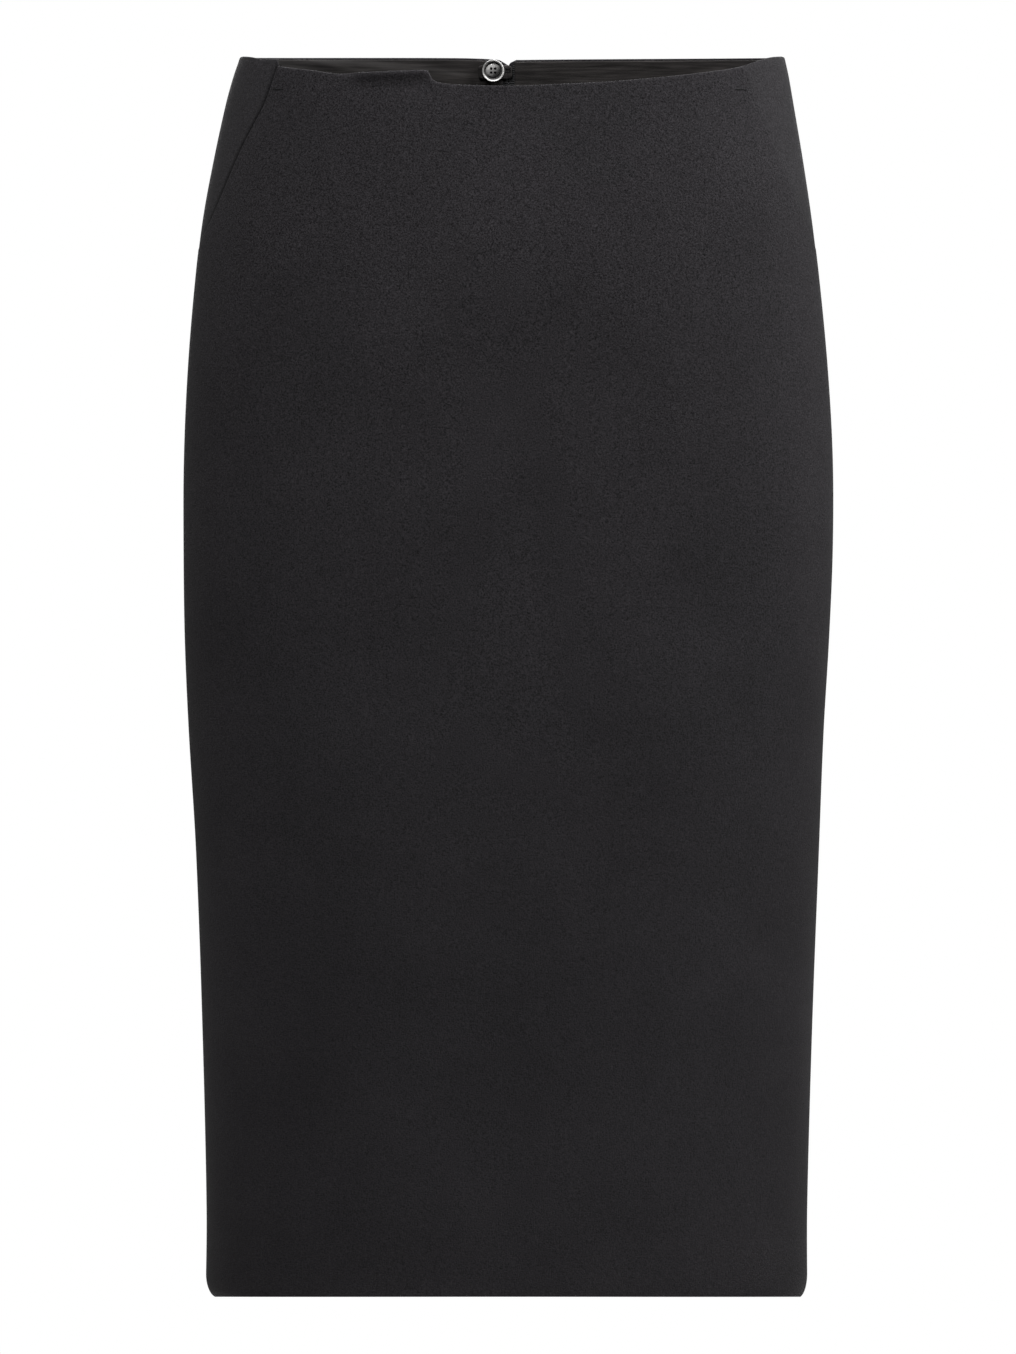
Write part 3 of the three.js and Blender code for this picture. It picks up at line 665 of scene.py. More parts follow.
class Tree:
    """A node tree with short ways to add the nodes that the finishes use."""

    def __init__(self, owner):
        owner.use_nodes = True
        self.nodes, self.links = owner.node_tree.nodes, owner.node_tree.links
        self.nodes.clear()

    def node(self, kind, inputs, **settings):
        """Adds a node, sets or joins its inputs, and gives its outputs."""
        node = self.nodes.new("ShaderNode" + kind)
        for name, value in settings.items():
            setattr(node, name, value)
        for name, value in inputs.items():
            if isinstance(value, bpy.types.NodeSocket):
                self.links.new(value, node.inputs[name])
            else:
                node.inputs[name].default_value = value
        return node.outputs

    def noise(self, source, scale, detail=2.0, rough=0.5):
        inputs = {"Scale": scale, "Detail": detail, "Roughness": rough, "Vector": source}
        return self.node("TexNoise", inputs)["Fac"]

    def range(self, source, low, high, from_low=0.3, from_high=0.7):
        inputs = {"Value": source, "From Min": from_low, "From Max": from_high, "To Min": low, "To Max": high}
        return self.node("MapRange", inputs)["Result"]

    def math(self, kind, first, second):
        return self.node("Math", {0: first, 1: second}, operation=kind)["Value"]

    def times(self, first, second):
        return self.math("MULTIPLY", first, second)

    def shade(self, colour, factor):
        """The colour made lighter or darker by a factor from the nodes."""
        return self.node("VectorMath", {0: colour[:3], "Scale": factor}, operation="SCALE")["Vector"]

    def bump(self, height, distance, strength=1.0):
        return self.node("Bump", {"Strength": strength, "Distance": distance, "Height": height})["Normal"]

    def stretch(self, source, scale, turn=0.0):
        return self.node("Mapping", {"Scale": scale, "Rotation": (0, 0, turn), "Vector": source})["Vector"]

    def split(self, source):
        return self.node("SeparateXYZ", {"Vector": source})

    def places(self):
        return self.node("TexCoord", {})

    def finish(self, colour, rough, normal, **fixed):
        inputs = {"Base Color": colour, "Roughness": rough}
        if normal is not None:
            inputs["Normal"] = normal
        for name, value in fixed.items():
            inputs[name.replace("_", " ").title().replace("Ior", "IOR")] = value
        shader = self.node("BsdfPrincipled", inputs)["BSDF"]
        self.node("OutputMaterial", {"Surface": shader})


def wool_material(tree, colour, sheen, speckle=0.5, worn=0.12):
    """Matt worsted wool: fine crepe grain, crossing threads, stray lint and soft random changes of tone, with
    painted glint in the grain's contrast and painted shade along a marked pocket crevice.
    """
    places = tree.places()
    body, flat = places["Object"], places["UV"]
    grain = tree.noise(body, 1150, 2.5, 0.65)
    slub = tree.noise(tree.stretch(flat, (320, 1500, 1)), 1.0, 1.5)
    warp = tree.noise(tree.stretch(flat, (1700, 260, 1)), 1.0, 1.5)
    cloud = tree.noise(body, 14, 3.0, 0.6)
    threads = tree.math("ADD", tree.times(slub, 0.5), tree.times(warp, 0.5))
    # the grain's contrast falls from full near the top to 0.6 of it towards the hem: painted glint, stronger
    # where the light falls from above
    depth = tree.range(tree.split(body)["Z"], 0.6 * speckle, speckle, -0.55, -0.1)
    fleck = tree.times(tree.range(grain, -1, 1), depth)
    shade = tree.times(tree.math("ADD", fleck, 1.0), tree.range(threads, 0.82, 1.18))
    shade = tree.times(shade, tree.range(cloud, 1 - worn, 1 + worn))
    # painted shade: the marked strip beside the right pocket edge darkens to 0.38 of its colour, standing in
    # for the crevice's shadow
    fold = tree.node("Attribute", {}, attribute_name="painted_crevice_shade")["Fac"]
    shade = tree.times(shade, tree.range(fold, 1.0, 0.38, 0.0, 1.0))
    tree.finish(
        tree.shade(colour, shade), tree.range(grain, 0.86, 0.98),
        tree.bump(tree.math("ADD", grain, threads), 0.0004, 0.7),
        specular_ior_level=0.06, sheen_weight=sheen, sheen_roughness=0.5)


def facing_material(tree, colour):
    """Smooth facing cloth: long crosswise threads with a low gloss, fine streaks painted partly as the
    weave's tone and partly as sheen, painted light and shade of drag lines, and painted light growing towards
    +X.
    """
    places = tree.places()
    flat = places["UV"]
    streak_tone_and_sheen = tree.noise(tree.stretch(flat, (40, 700, 1), 0.06), 1.0, 3.0, 0.6)
    drag = tree.noise(tree.stretch(flat, (18, 240, 1), 0.2), 1.0, 2.0)
    thread = tree.noise(tree.stretch(flat, (700, 3200, 1)), 1.0, 1.0)
    # the streaks are partly the weave's own tone and partly painted sheen; the wider slanting bands are
    # painted light and shade of drag lines
    shade = tree.times(tree.range(streak_tone_and_sheen, 0.5, 1.5), tree.range(drag, 0.7, 1.35))
    # painted light: the facing goes from 0.7 of its colour at the -X end to 1.35 at the +X end, lighter where
    # the light falls inside the waist
    shade = tree.times(shade, tree.range(tree.split(places["Object"])["X"], 0.7, 1.35, -0.1, 0.1))
    tree.finish(
        tree.shade(colour, shade), tree.range(streak_tone_and_sheen, 0.6, 0.78),
        tree.bump(tree.math("ADD", streak_tone_and_sheen, tree.times(thread, 0.4)), 0.0003, 0.5),
        specular_ior_level=0.10, sheen_weight=0.02, sheen_roughness=0.4)


def tape_material(tree, colour):
    """Woven zip tape: narrow crosswise ribs."""
    body = tree.places()["Object"]
    inputs = {"Scale": 260, "Distortion": 0.6, "Vector": body}
    wave = tree.node("TexWave", inputs, bands_direction="Z")["Fac"]
    fuzz = tree.noise(body, 1800, 2.0)
    ribs = tree.math("ADD", wave, fuzz)
    tree.finish(
        tree.shade(colour, tree.range(ribs, 0.7, 1.3, 0.3, 1.6)), tree.range(fuzz, 0.7, 0.85),
        tree.bump(ribs, 0.0003, 0.8), specular_ior_level=0.25, sheen_weight=0.05)


def thread_material(tree, colour):
    """Twisted sewing thread."""
    twist = tree.noise(tree.places()["Object"], 4200, 1.0)
    tree.finish(
        tree.shade(colour, tree.range(twist, 0.7, 1.4)), tree.range(twist, 0.6, 0.75),
        tree.bump(twist, 0.0001, 0.6), specular_ior_level=0.12)


def button_seat():
    """The point on the tab under the button's middle, and the button's turn about X to face inward."""
    at = behind_wall(BUTTON_ACROSS, BUTTON_HEIGHT, tab_inset(BUTTON_ACROSS) + TAB_WALL + SEAM_GAP)
    high, low = behind_wall(0, 0, 0), behind_wall(0, BUTTON_HEIGHT * 2, 0)
    return at, math.pi / 2 + math.atan2(low[1] - high[1], -BUTTON_HEIGHT * 2)


def from_button_axis(tree, body):
    """Distance of a shaded point from the button's axis."""
    at, turn = button_seat()
    axis = (0, -math.sin(turn), math.cos(turn))
    away = tree.node("VectorMath", {0: body, 1: [x * MM for x in at]}, operation="SUBTRACT")["Vector"]
    away = tree.node("VectorMath", {0: away, 1: axis}, operation="CROSS_PRODUCT")["Vector"]
    return tree.node("VectorMath", {0: away}, operation="LENGTH")["Value"]


def horn_material(tree, colour):
    """Grey horn with clouded streaks of its own; painted light on the upper left of the middle, a polished
    rim with a painted highlight on its lower right, and painted shade in the groove and on the outer wall.
    """
    body = tree.places()["Object"]
    cloud = tree.noise(tree.stretch(body, (160, 160, 420)), 1.0, 4.0, 0.62)
    fleck = tree.noise(body, 1500, 2.0)
    split = tree.split(body)
    slant = tree.math("SUBTRACT", split["Z"], split["X"])
    middle = (BUTTON_HEIGHT - BUTTON_ACROSS) * MM
    # painted light: along the slant from lower right to upper left, the middle is painted from 0.15 up to
    # 1.35 of the colour and the rim from 2.0 down to 0.8, lit on the sides where the light falls
    painted_middle_light = tree.range(slant, 0.15, 1.35, middle - 0.0042, middle + 0.0042)
    painted_rim_highlight = tree.range(slant, 2.0, 0.8, middle - 0.006, middle + 0.006)
    out = from_button_axis(tree, body)
    disc, rim, wall = ([(BUTTON_RADIUS - inward) * MM for inward in zone]
                       for zone in ((2.2, 1.9), (1.2, 0.9), (0.22, 0.08)))
    side = tree.math("MAXIMUM", tree.times(tree.range(out, 1, 0, *disc), painted_middle_light),
                     tree.times(tree.range(out, 0, 1, *rim), painted_rim_highlight))
    # between the middle and the rim only this floor of 0.15 stays: painted shade in the groove
    side = tree.math("MAXIMUM", side, 0.15)
    mottle = tree.times(tree.range(cloud, 0.6, 1.35), tree.range(fleck, 0.85, 1.15))
    # past the rim the outer wall is painted down to 0.12 of the colour: painted shade against the light from
    # behind
    shade = tree.times(mottle, tree.times(side, tree.range(out, 1, 0.12, *wall)))
    rough = tree.math("MAXIMUM", tree.range(cloud, 0.18, 0.36), tree.range(out, 0, 0.7, *wall))
    tree.finish(
        tree.shade(colour, shade), rough, tree.bump(fleck, 0.00005, 0.4),
        specular_ior_level=0.4, coat_weight=0.15, coat_roughness=0.2)


def enamel_material(tree, colour):
    """Black enamelled zip metal, rubbed a little lighter in small patches."""
    body = tree.places()["Object"]
    rub = tree.noise(body, 700, 4.0, 0.65)
    fine = tree.noise(body, 5200, 1.0)
    tree.finish(
        tree.shade(colour, tree.range(rub, 0.7, 1.6, 0.35, 0.75)), tree.range(rub, 0.42, 0.58),
        tree.bump(fine, 0.00004, 0.5), metallic=0.4, specular_ior_level=0.35)


def floor_material(tree, colour):
    """Pale painted studio floor."""
    cloud = tree.noise(tree.places()["Object"], 3, 3.0)
    tree.finish(
        tree.shade(colour, tree.range(cloud, 0.98, 1.02)), tree.range(cloud, 0.72, 0.8), None,
        specular_ior_level=0.2)


MATERIALS = {}


def material_named(name, make, *sizes):
    if name not in MATERIALS:
        MATERIALS[name] = bpy.data.materials.new(name)
        make(Tree(MATERIALS[name]), *sizes)
    return MATERIALS[name]


def wool_of(cloth):
    return material_named("wool_cloth", wool_material, cloth.colour, cloth.sheen, cloth.speckle)


def thread_of(trims):
    return material_named("thread", thread_material, trims.thread_colour)


def dress(obj, material, body="skirt"):
    """Gives a piece its finish and the body that it moves with."""
    obj.data.materials.clear()
    obj.data.materials.append(material)
    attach(obj, body)


# Small trims


def ring_faces(base, rings, around):
    """Faces of a body of rings of points, closed at both ends."""
    faces = []
    for ring in range(rings - 1):
        for step in range(around):
            a = base + ring * around + step
            b = base + ring * around + (step + 1) % around
            faces.append((a, b, b + around, a + around))
    last = base + (rings - 1) * around
    faces.append(tuple(base + step for step in range(around - 1, -1, -1)))
    faces.append(tuple(last + step for step in range(around)))
    return faces


def stitches(name, runs, length, radius):
    """Rows of thread stitches: each run is (middle, direction, outward) in millimetres."""
    points, faces = [], []
    around, along = 8, 6
    for middle, forward, outward in runs:
        side = cross(forward, outward)
        faces += ring_faces(len(points), along + 1, around)
        for ring in range(along + 1):
            share = ring / along
            swell = max(math.sin(math.pi * share), 0.12) ** 0.5
            arch = math.sin(math.pi * share) * radius * 0.9
            for step in range(around):
                turn = 2 * math.pi * step / around
                lift = arch + radius * swell * math.sin(turn)
                wide = radius * swell * math.cos(turn)
                points.append(tuple(
                    m + f * (share - 0.5) * length + o * lift + s * wide
                    for m, f, o, s in zip(middle, forward, outward, side)))
    return add_object(name, points, faces)


def cross(a, b):
    return (a[1] * b[2] - a[2] * b[1], a[2] * b[0] - a[0] * b[2], a[0] * b[1] - a[1] * b[0])


def unit(vector):
    size = math.sqrt(sum(part * part for part in vector))
    return tuple(part / size for part in vector)


def surface_run(angle, z, turn, inset=0.0):
    """Middle, direction and outward way for a stitch lying on the cloth, turned from level."""
    here = cloth_point(angle, z, inset)
    beside = cloth_point(angle + 0.004, z, inset)
    above = cloth_point(angle, z + 1, inset)
    level = unit(tuple(b - a for a, b in zip(here, beside)))
    upward = unit(tuple(b - a for a, b in zip(here, above)))
    outward = unit(cross(level, upward))
    forward = unit(tuple(l * math.cos(turn) + u * math.sin(turn) for l, u in zip(level, upward)))
    return here, forward, outward


def round_tube(name, path, radius, around=8):
    """A round thread or wire along a path of points in millimetres."""
    points = []
    for index, here in enumerate(path):
        ahead, behind = path[min(index + 1, len(path) - 1)], path[max(index - 1, 0)]
        forward = unit(tuple(a - b for a, b in zip(ahead, behind)))
        guide = (0, 0, 1) if abs(forward[2]) < 0.9 else (1, 0, 0)
        first = unit(cross(forward, guide))
        second = cross(forward, first)
        for step in range(around):
            turn = 2 * math.pi * step / around
            points.append(tuple(
                h + radius * (math.cos(turn) * f + math.sin(turn) * s)
                for h, f, s in zip(here, first, second)))
    return add_object(name, points, [face[::-1] for face in ring_faces(0, len(path), around)])


# Sizes and colours


class SkirtCloth(bpy.types.PropertyGroup):
    """The outer cloth."""

    colour: FloatVectorProperty(
        name="Cloth colour", description="Colour of the wool cloth", subtype="COLOR", size=3,
        min=0, max=1, default=(0.0137, 0.0128, 0.0141))
    # painted light: a lighter copy of the cloth's colour, for the light the hip pieces catch where they turn
    # towards the sides
    hip_piece_painted_light_colour: FloatVectorProperty(
        name="Hip piece colour", description="Colour of the cloth inside the pocket openings",
        subtype="COLOR", size=3, min=0, max=1, default=(0.0158, 0.0150, 0.0163))
    sheen: FloatProperty(
        name="Sheen", description="Pale bloom of the cloth where it turns away", min=0, max=1,
        default=0.012, subtype="FACTOR")
    speckle: FloatProperty(
        name="Speckle", description="Contrast of the crepe grain", min=0, max=1, default=0.85,
        subtype="FACTOR")


class SkirtTrims(bpy.types.PropertyGroup):
    """The facing, the zip, the button and the thread."""

    facing_colour: FloatVectorProperty(
        name="Facing colour", description="Colour of the smooth facing inside the waist",
        subtype="COLOR", size=3, min=0, max=1, default=(0.0165, 0.0150, 0.0146))
    tape_colour: FloatVectorProperty(
        name="Zip tape colour", description="Colour of the woven zip tape", subtype="COLOR", size=3,
        min=0, max=1, default=(0.012, 0.012, 0.013))
    thread_colour: FloatVectorProperty(
        name="Thread colour", description="Colour of the sewing thread", subtype="COLOR", size=3,
        min=0, max=1, default=(0.0055, 0.0055, 0.006))
    button_colour: FloatVectorProperty(
        name="Button colour", description="Colour of the button's horn", subtype="COLOR", size=3,
        min=0, max=1, default=(0.29, 0.286, 0.28))
    metal_colour: FloatVectorProperty(
        name="Zip metal colour", description="Colour of the slider and its pull", subtype="COLOR",
        size=3, min=0, max=1, default=(0.02, 0.02, 0.021))
    coil_pitch: FloatProperty(
        name="Coil pitch", description="Distance from one turn of the zip coil to the next",
        min=0.0006, max=0.003, default=0.0012, unit="LENGTH", subtype="DISTANCE", precision=5)
    stitch_count: IntProperty(
        name="Tack stitches", description="Stitches in the bar tack at each pocket top", min=3, max=12,
        default=6)


class SkirtStage(bpy.types.PropertyGroup):
    """The floor, the light and the camera."""

    floor_colour: FloatVectorProperty(
        name="Floor colour", description="Colour of the studio floor", subtype="COLOR", size=3,
        min=0, max=1, default=(0.82, 0.82, 0.81))
    floor_drop: FloatProperty(
        name="Floor below hem", description="How far the floor lies below the hem", min=0, max=3,
        default=0.5, unit="LENGTH", subtype="DISTANCE")
    key_power: FloatProperty(
        name="Key light", description="Power of the key light in watts", min=0, max=2000, default=38,
        unit="POWER")
    rim_power: FloatProperty(
        name="Rim light", description="Power of the light beside the key in watts", min=0,
        max=2000, default=7.5, unit="POWER")
    fill_power: FloatProperty(
        name="Fill light", description="Power of the light on the other side in watts", min=0,
        max=2000, default=1.5, unit="POWER")
    front_power: FloatProperty(
        name="Front light", description="Power of the high light in front in watts", min=0,
        max=2000, default=27, unit="POWER")
    back_power: FloatProperty(
        name="Back light", description="Power of the light behind in watts", min=0, max=2000,
        default=120, unit="POWER")
    camera_distance: FloatProperty(
        name="Camera distance", description="Distance from the camera to the skirt", min=2, max=40,
        default=12.0, unit="LENGTH", subtype="DISTANCE")
    view_height: FloatProperty(
        name="View height", description="Height of the camera's frame at the skirt", min=0.3, max=3,
        default=0.7647, unit="LENGTH", subtype="DISTANCE")


# Operators, one for each group of pieces


class SKIRT_OT_front(bpy.types.Operator):
    """Make the front panel with its turned pocket edges, its hem and its rolled top edge"""

    bl_idname = "skirt.front"
    bl_label = "Front"
    bl_options = {"REGISTER", "UNDO"}

    def execute(self, context):
        trims = context.scene.skirt_trims
        front = make_cloth("front_cloth", front_columns(), panel_profile(), front_roll)
        dress(front, wool_of(context.scene.skirt_cloth))
        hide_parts("front_panel")
        self.make_tacks(trims)
        return {"FINISHED"}

    def make_tacks(self, trims):
        for side, word in ((1, "left"), (-1, "right")):
            runs = []
            for number in range(trims.stitch_count):
                across = side * (TACK_ACROSS + TACK_STEP * number)
                angle = angle_across(across, TACK_HEIGHT, "front")
                runs.append(surface_run(angle, TACK_HEIGHT, 0.35, 0.08))
            dress(stitches("pocket_tack_" + word, runs, 1.9, 0.3), thread_of(trims))


class SKIRT_OT_back(bpy.types.Operator):
    """Make the two back panels with their darts, the centre back edges and the walking slit"""

    bl_idname = "skirt.back"
    bl_label = "Back"
    bl_options = {"REGISTER", "UNDO"}

    def execute(self, context):
        wool = wool_of(context.scene.skirt_cloth)
        for side, word in ((1, "left"), (-1, "right")):
            panel = make_cloth("back_cloth_" + word, back_columns(side), panel_profile(), dart_sink, side)
            dress(panel, wool)
            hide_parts("back_panel_" + word)
        return {"FINISHED"}


class SKIRT_OT_pockets(bpy.types.Operator):
    """Make the hip pieces that show inside the slanted pocket openings"""

    bl_idname = "skirt.pockets"
    bl_label = "Pocket hip pieces"
    bl_options = {"REGISTER", "UNDO"}

    def execute(self, context):
        cloth = context.scene.skirt_cloth
        # painted light: the hip pieces get a lighter copy of the cloth's colour and 0.8 of its grain
        # contrast, standing in for how the light falls on them where they turn towards the sides
        wool = material_named("hip_piece_wool_painted_light", wool_material, cloth.hip_piece_painted_light_colour, cloth.sheen * 1.3,
                              cloth.speckle * 0.8)
        places = spaced(0, 0.9, 1 / 20) + [1 - share * share for share in spaced(0.28, 0, 0.035)]
        places += [1 + share * share for share in spaced(0, 1, 1 / 24)[1:]]
        for side, word in ((1, "left"), (-1, "right")):
            columns = []
            for place in places:
                gap = PLAIN_EDGE if 0.001 < place < 1.999 else 0.1
                columns.append(((lambda row, p=place, s=side: s * bearer_angle(p, row)), gap))
            shown = places[::side]
            gape = GAPE_RIGHT if side < 0 else GAPE_LEFT

            def sink(angle, row, column, shown=shown, gape=gape):
                z = row - SKIRT_LENGTH
                across = max(0, shown[column] - 1)
                slack = BEARER_SLACK * math.exp(-(((z - POCKET_END_HEIGHT) / BEARER_SLACK_HEIGHT) ** 2))
                from_edge = (abs(angle) - front_edge_angle(row)) / ANGLE_PER_MM_FRONT
                crevice = math.exp(-((from_edge / (2.0 if from_edge > 0 else 9.0)) ** 2))
                slack += gape * crevice * smoothstep(z, POCKET_END_HEIGHT, POCKET_END_HEIGHT + 12)
                if z < POCKET_END_HEIGHT:
                    return BEARER_SINK + slack
                return (BEARER_SINK + slack) * (1 - across) ** 1.4

            profile = plain_profile(BEARER_HEM, SKIRT_LENGTH, BEARER_WALL)
            bearer = make_cloth("hip_piece_" + word, columns, profile, sink, side, hip_piece_height)
            if side < 0:
                self.paint_crevice_shade(bearer)
            dress(bearer, wool)
            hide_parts("pocket_bearer_" + word)
        return {"FINISHED"}

    def paint_crevice_shade(self, bearer):
        """Marks the strip just outside the gaping pocket edge for painted shade: the crevice's shadow,
        darkened into the hip piece's colour.
        """
        mark = bearer.data.attributes.new("painted_crevice_shade", "FLOAT", "POINT")
        edges = {}
        for vertex in bearer.data.vertices:
            across, z = -vertex.co.x / MM, round(vertex.co.z / MM, 1)
            if z not in edges:
                edges[z] = -cloth_point(angle_across(-pocket_across(z), z, "front"), z)[0]
            outside = across - edges[z]
            near = smoothstep(outside, -2.5, -1.0) * (1 - smoothstep(outside, 0.4, 2.0))
            inside = smoothstep(z, POCKET_END_HEIGHT - 2, POCKET_END_HEIGHT + 22)
            mark.data[vertex.index].value = near * inside


class SKIRT_OT_facings(bpy.types.Operator):
    """Make the smooth facings inside the back of the waist"""

    bl_idname = "skirt.facings"
    bl_label = "Facings"
    bl_options = {"REGISTER", "UNDO"}

    def execute(self, context):
        trims = context.scene.skirt_trims
        smooth = material_named("facing_cloth", facing_material, trims.facing_colour)
        for side, word in ((1, "left"), (-1, "right")):
            columns = back_columns(side, FACING_CENTRE_EDGE)
            profile = plain_profile(SKIRT_LENGTH - FACING_DEPTH, SKIRT_LENGTH - FACING_TOP_DROP,
                                    FACING_WALL, 1.3)
            facing = make_cloth("facing_" + word, columns, profile, facing_sink, side)
            dress(facing, smooth)
            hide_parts("back_facing_" + word)
        return {"FINISHED"}


class SKIRT_OT_zip(bpy.types.Operator):
    """Make the zip's tapes and coil, and finish its slider and pull"""

    bl_idname = "skirt.zip"
    bl_label = "Zip"
    bl_options = {"REGISTER", "UNDO"}

    def execute(self, context):
        trims = context.scene.skirt_trims
        woven = material_named("zip_tape", tape_material, trims.tape_colour)
        for side, word in ((1, "left"), (-1, "right")):
            columns = []
            far = TAPE_INNER_EDGE + TAPE_WIDTH
            for across in [far, far - 0.1] + spaced(far - 0.5, 1.5, 1.2):
                gap = far - across
                columns.append(((lambda row, a=across, s=side: s * back_across_angle(a, row)), gap))
            for gap in (0.3, 0.1, 0.0):
                columns.append(((lambda row, g=gap, s=side: s * back_across_angle(tape_edge(row) + g, row)),
                                gap))
            profile = plain_profile(TAPE_BOTTOM_HEIGHT, TAPE_TOP_HEIGHT, TAPE_WALL, 4)
            tape = make_cloth("zip_tape_cloth_" + word, columns, profile,
                              lambda angle, row, column: CLOTH_WALL + SEAM_GAP, side)
            dress(tape, woven)
            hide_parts("zip_tape_" + word)
        self.make_coil(trims)
        metal = material_named("zip_metal", enamel_material, trims.metal_colour)
        for node in ("zip_slider", "zip_pull"):
            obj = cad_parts[node]
            obj.data.materials.clear()
            obj.data.materials.append(metal)
            bevel = obj.modifiers.new("soft edges", "BEVEL")
            bevel.width = 0.00015
            bevel.segments = 2
            bevel.limit_method = "ANGLE"
        return {"FINISHED"}

    def make_coil(self, trims):
        """The two meshed rows of the nylon coil, closed up to just below the slider."""
        pitch = trims.coil_pitch / MM
        path = []
        z = TAPE_BOTTOM_HEIGHT - SKIRT_LENGTH + 4
        while z < SLIDER_HEIGHT - 4.5:
            for step in range(6):
                turn = 2 * math.pi * step / 6
                here = behind_wall(0, z + pitch * step / 6, CLOTH_WALL + 0.78 + 0.34 * math.sin(turn))
                path.append((0.62 * math.cos(turn), here[1], here[2]))
            z += pitch
        dress(round_tube("zip_coil", path, 0.2, 6), thread_of(trims))


class SKIRT_OT_button(bpy.types.Operator):
    """Make the buttoned tab at the top of the zip, its worked buttonhole and the button"""

    bl_idname = "skirt.button"
    bl_label = "Button and tab"
    bl_options = {"REGISTER", "UNDO"}

    def execute(self, context):
        trims = context.scene.skirt_trims
        self.make_tab(trims)
        self.make_buttonhole(trims)
        self.make_button(trims)
        return {"FINISHED"}

    def make_tab(self, trims):
        places = [TAB_RIGHT, TAB_RIGHT + 0.1, TAB_RIGHT + 0.4]
        places += spaced(TAB_RIGHT + 0.9, TAB_LEFT - 0.9, 0.5)
        places += [TAB_LEFT - 0.4, TAB_LEFT - 0.1, TAB_LEFT]
        places.reverse()
        shares = [0, 0.012, 0.05, 0.12] + spaced(0.2, 0.8, 0.06) + [0.88, 0.95, 0.988, 1]
        outer, inner, flat = [], [], []
        for across in places:
            near_end = min(TAB_LEFT - across, across - TAB_RIGHT)
            from_end = min(near_end, TAB_CORNER)
            drop = TAB_CORNER - math.sqrt(max(TAB_CORNER ** 2 - (TAB_CORNER - from_end) ** 2, 0))
            low, high = TAB_BOTTOM + 0.8 * drop, TAB_TOP - 0.8 * drop
            inset = tab_inset(across)
            along_slot = BUTTONHOLE_RIGHT - 0.6 < across < BUTTONHOLE_LEFT + 0.6
            for share in shares:
                z = lerp(low, high, share)
                turned = edge_turn(min(near_end, z - low, high - z), TAB_WALL)
                groove = 0.30 if along_slot and abs(z - BUTTON_HEIGHT) < 0.55 else 0.0
                outer.append(behind_wall(across, z, inset + turned))
                inner.append(behind_wall(across, z, inset + TAB_WALL - turned - groove))
                flat.append((across * MM, z * MM))
        tab = close_sheet("tab_cloth", outer, inner, flat, len(places), len(shares))
        dress(tab, material_named("facing_cloth", facing_material, trims.facing_colour))
        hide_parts("button_tab")

    def make_buttonhole(self, trims):
        """Close stitches along both lips of the buttonhole and a bar across its end."""
        runs = []
        for lip in (-1, 1):
            for across in spaced(BUTTONHOLE_RIGHT, BUTTONHOLE_LEFT, 0.42):
                here = self.on_tab(across, BUTTON_HEIGHT + lip * 0.95)
                runs.append((here, (0, 0, 1), (0, -1, 0)))
        for number in range(5):
            here = self.on_tab(BUTTONHOLE_LEFT + 0.35, BUTTON_HEIGHT - 1.2 + 0.6 * number)
            runs.append((here, (1, 0, 0), (0, -1, 0)))
        dress(stitches("buttonhole_stitches", runs, 1.25, 0.16), thread_of(trims))

    def on_tab(self, across, z):
        return behind_wall(across, z, tab_inset(across) + TAB_WALL - 0.02)

    def make_button(self, trims):
        """Turned button with a raised rim, a groove and a dished middle with four holes."""
        r = BUTTON_RADIUS
        profile = (
            (0.001, 0), (r - 2.4, 0.0), (r - 1.6, 0.05), (r - 1.0, 0.25), (r - 0.5, 0.62), (r - 0.15, 1.1),
            (r, 1.7), (r - 0.04, 2.4), (r - 0.14, 2.8), (r - 0.32, 3.0), (r - 0.55, 2.96), (r - 0.85, 2.72),
            (r - 1.2, 2.38), (r - 1.5, 2.0), (r - 1.68, 1.5), (r - 1.9, 1.15), (r - 2.15, 1.2),
            (r - 2.35, 1.5), (3.7, 1.75), (3.3, 1.95), (2.6, 2.12), (1.8, 2.22), (0.9, 2.27), (0.001, 2.28),
        )
        around = 96
        points = [(x * math.cos(t), x * math.sin(t), z) for x, z in profile
                  for t in (2 * math.pi * step / around for step in range(around))]
        faces = ring_faces(0, len(profile), around)
        button = add_object("horn_button", [self.placed(point) for point in points], faces, sharp=60)
        cutter = self.hole_cutter()
        cut = button.modifiers.new("holes", "BOOLEAN")
        cut.operation = "DIFFERENCE"
        cut.solver = "EXACT"
        cut.object = cutter
        depsgraph = bpy.context.evaluated_depsgraph_get()
        mesh = bpy.data.meshes.new_from_object(button.evaluated_get(depsgraph))
        button.modifiers.clear()
        button.data = mesh
        mesh.shade_smooth()
        mesh.set_sharp_from_angle(angle=math.radians(40))
        bpy.data.objects.remove(cutter, do_unlink=True)
        dress(button, material_named("button_horn", horn_material, trims.button_colour))
        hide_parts("button")
        self.make_shank(trims)

    def placed(self, point):
        """A point of the button, drawn face up, turned to face inward at its place on the tab."""
        at, turn = button_seat()
        x, y, z = point
        return (
            at[0] + x,
            at[1] + y * math.cos(turn) - z * math.sin(turn),
            at[2] + y * math.sin(turn) + z * math.cos(turn),
        )

    def hole_cutter(self):
        points, faces = [], []
        around = 20
        for cx, cy in ((-0.5, -0.5), (0.5, -0.5), (0.5, 0.5), (-0.5, 0.5)):
            faces += ring_faces(len(points), 2, around)
            for z in (-1.0, 5.0):
                for step in range(around):
                    turn = 2 * math.pi * step / around
                    points.append(self.placed((
                        cx * BUTTON_HOLE_SPACING + BUTTON_HOLE_RADIUS * math.cos(turn),
                        cy * BUTTON_HOLE_SPACING + BUTTON_HOLE_RADIUS * math.sin(turn), z)))
        return add_object("hole_cutter", points, faces)

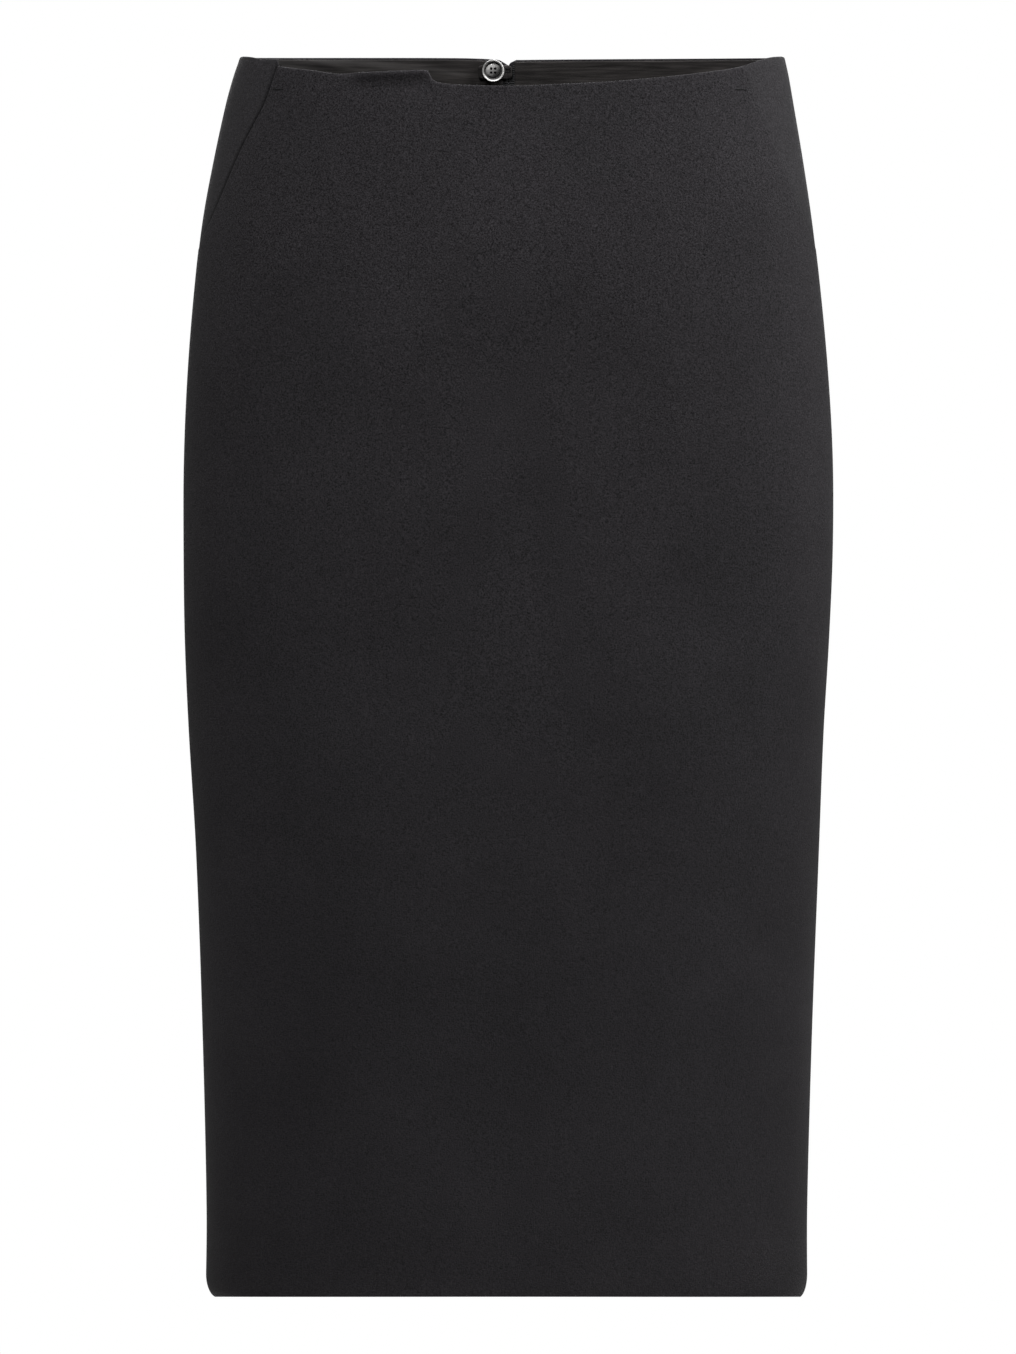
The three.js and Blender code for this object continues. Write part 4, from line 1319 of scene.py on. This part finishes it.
    def make_shank(self, trims):
        """Sewing thread sunk in the four holes."""
        reach = BUTTON_HOLE_SPACING / 2
        holes = [(x, y) for x in (-reach, reach) for y in (-reach, reach)]
        for number, (x, y) in enumerate(holes, 1):
            path = [self.placed((x + 0.06 * math.sin(z * 3), y, z)) for z in spaced(-0.2, 0.6, 0.15)]
            dress(round_tube("button_thread_%d" % number, path, 0.5), thread_of(trims))


class SKIRT_OT_stage(bpy.types.Operator):
    """Set the pale floor, the soft studio light and the camera"""

    bl_idname = "skirt.stage"
    bl_label = "Stage"
    bl_options = {"REGISTER", "UNDO"}

    def execute(self, context):
        stage = context.scene.skirt_stage
        self.make_floor(stage)
        self.make_lights(context, stage)
        self.make_camera(context, stage)
        context.scene.view_settings.view_transform = "Standard"
        return {"FINISHED"}

    def make_floor(self, stage):
        drop = -SKIRT_LENGTH - stage.floor_drop / MM
        side = 5000
        corners = [(-side, -side, drop), (side, -side, drop), (side, side, drop), (-side, side, drop)]
        floor = add_object("floor", corners, [(0, 1, 2, 3)])
        floor.data.materials.append(material_named("floor_paint", floor_material, stage.floor_colour))

    def make_lights(self, context, stage):
        world = bpy.data.worlds.new("studio")
        tree = Tree(world)
        seen = tree.node("LightPath", {})["Is Camera Ray"]
        dome = tree.range(tree.split(tree.places()["Generated"])["Z"], 0.03, 0.36, 0.35, 0.7)
        light = {"Color": (1, 1, 1, 1), "Strength": tree.math("MAXIMUM", dome, seen)}
        tree.node("OutputWorld", {"Surface": tree.node("Background", light)["Background"]})
        context.scene.world = world
        self.add_area("key_light", (1.2, -0.5, 0.9), stage.key_power, 0.7)
        self.add_area("front_light", (-0.3, -0.9, 1.0), stage.front_power, 0.5)
        self.add_area("right_rim_light", (0.75, 0.12, 0.55), stage.rim_power, 0.3)
        self.add_area("left_rim_light", (-0.95, 0.1, 0.7), stage.fill_power, 0.4)
        self.add_area("back_light", (0, 2.2, 1.0), stage.back_power, 1.3)

    def add_area(self, name, place, power, size):
        light = bpy.data.lights.new(name, "AREA")
        light.energy = power
        light.size = size
        obj = bpy.data.objects.new(name, light)
        obj.location = place
        aim(obj, (0, 0, -0.33))
        bpy.context.collection.objects.link(obj)

    def make_camera(self, context, stage):
        data = bpy.data.cameras.new("camera")
        data.sensor_width = 36
        data.lens = 36 * stage.camera_distance / stage.view_height
        data.clip_end = 200
        camera = bpy.data.objects.new("camera", data)
        camera.location = (-0.0002, -stage.camera_distance, -0.55)
        aim(camera, (-0.0002, 0, -0.350))
        bpy.context.collection.objects.link(camera)
        context.scene.camera = camera


def aim(obj, target):
    """Turns a light or the camera to look at a point."""
    away = [t - p for t, p in zip(target, obj.location)]
    level = math.hypot(away[0], away[1])
    obj.rotation_euler = (math.pi / 2 + math.atan2(away[2], level), 0, -math.atan2(away[0], away[1]))


class SKIRT_PT_panel(bpy.types.Panel):
    """Sizes, colours and makers of the skirt"""

    bl_label = "Pencil skirt"
    bl_idname = "SKIRT_PT_panel"
    bl_space_type = "VIEW_3D"
    bl_region_type = "UI"
    bl_category = "Skirt"

    def draw(self, context):
        for group in ("skirt_cloth", "skirt_trims", "skirt_stage"):
            settings = getattr(context.scene, group)
            box = self.layout.box()
            for name in settings.bl_rna.properties.keys():
                if name not in ("rna_type", "name"):
                    box.prop(settings, name)
        for operator in OPERATORS:
            self.layout.operator(operator.bl_idname)


GROUPS = (SkirtCloth, SkirtTrims, SkirtStage)
OPERATORS = (SKIRT_OT_stage, SKIRT_OT_front, SKIRT_OT_back, SKIRT_OT_pockets, SKIRT_OT_facings,
             SKIRT_OT_zip, SKIRT_OT_button)
CLASSES = GROUPS + OPERATORS + (SKIRT_PT_panel,)


def register():
    for cls in CLASSES:
        bpy.utils.register_class(cls)
    bpy.types.Scene.skirt_cloth = PointerProperty(type=SkirtCloth)
    bpy.types.Scene.skirt_trims = PointerProperty(type=SkirtTrims)
    bpy.types.Scene.skirt_stage = PointerProperty(type=SkirtStage)


def unregister():
    del bpy.types.Scene.skirt_stage
    del bpy.types.Scene.skirt_trims
    del bpy.types.Scene.skirt_cloth
    for cls in reversed(CLASSES):
        bpy.utils.unregister_class(cls)


def main():
    register()
    bpy.ops.skirt.stage()
    bpy.ops.skirt.front()
    bpy.ops.skirt.back()
    bpy.ops.skirt.pockets()
    bpy.ops.skirt.facings()
    bpy.ops.skirt.zip()
    bpy.ops.skirt.button()
    bpy.context.view_layer.update()


if __name__ == "__main__":
    main()
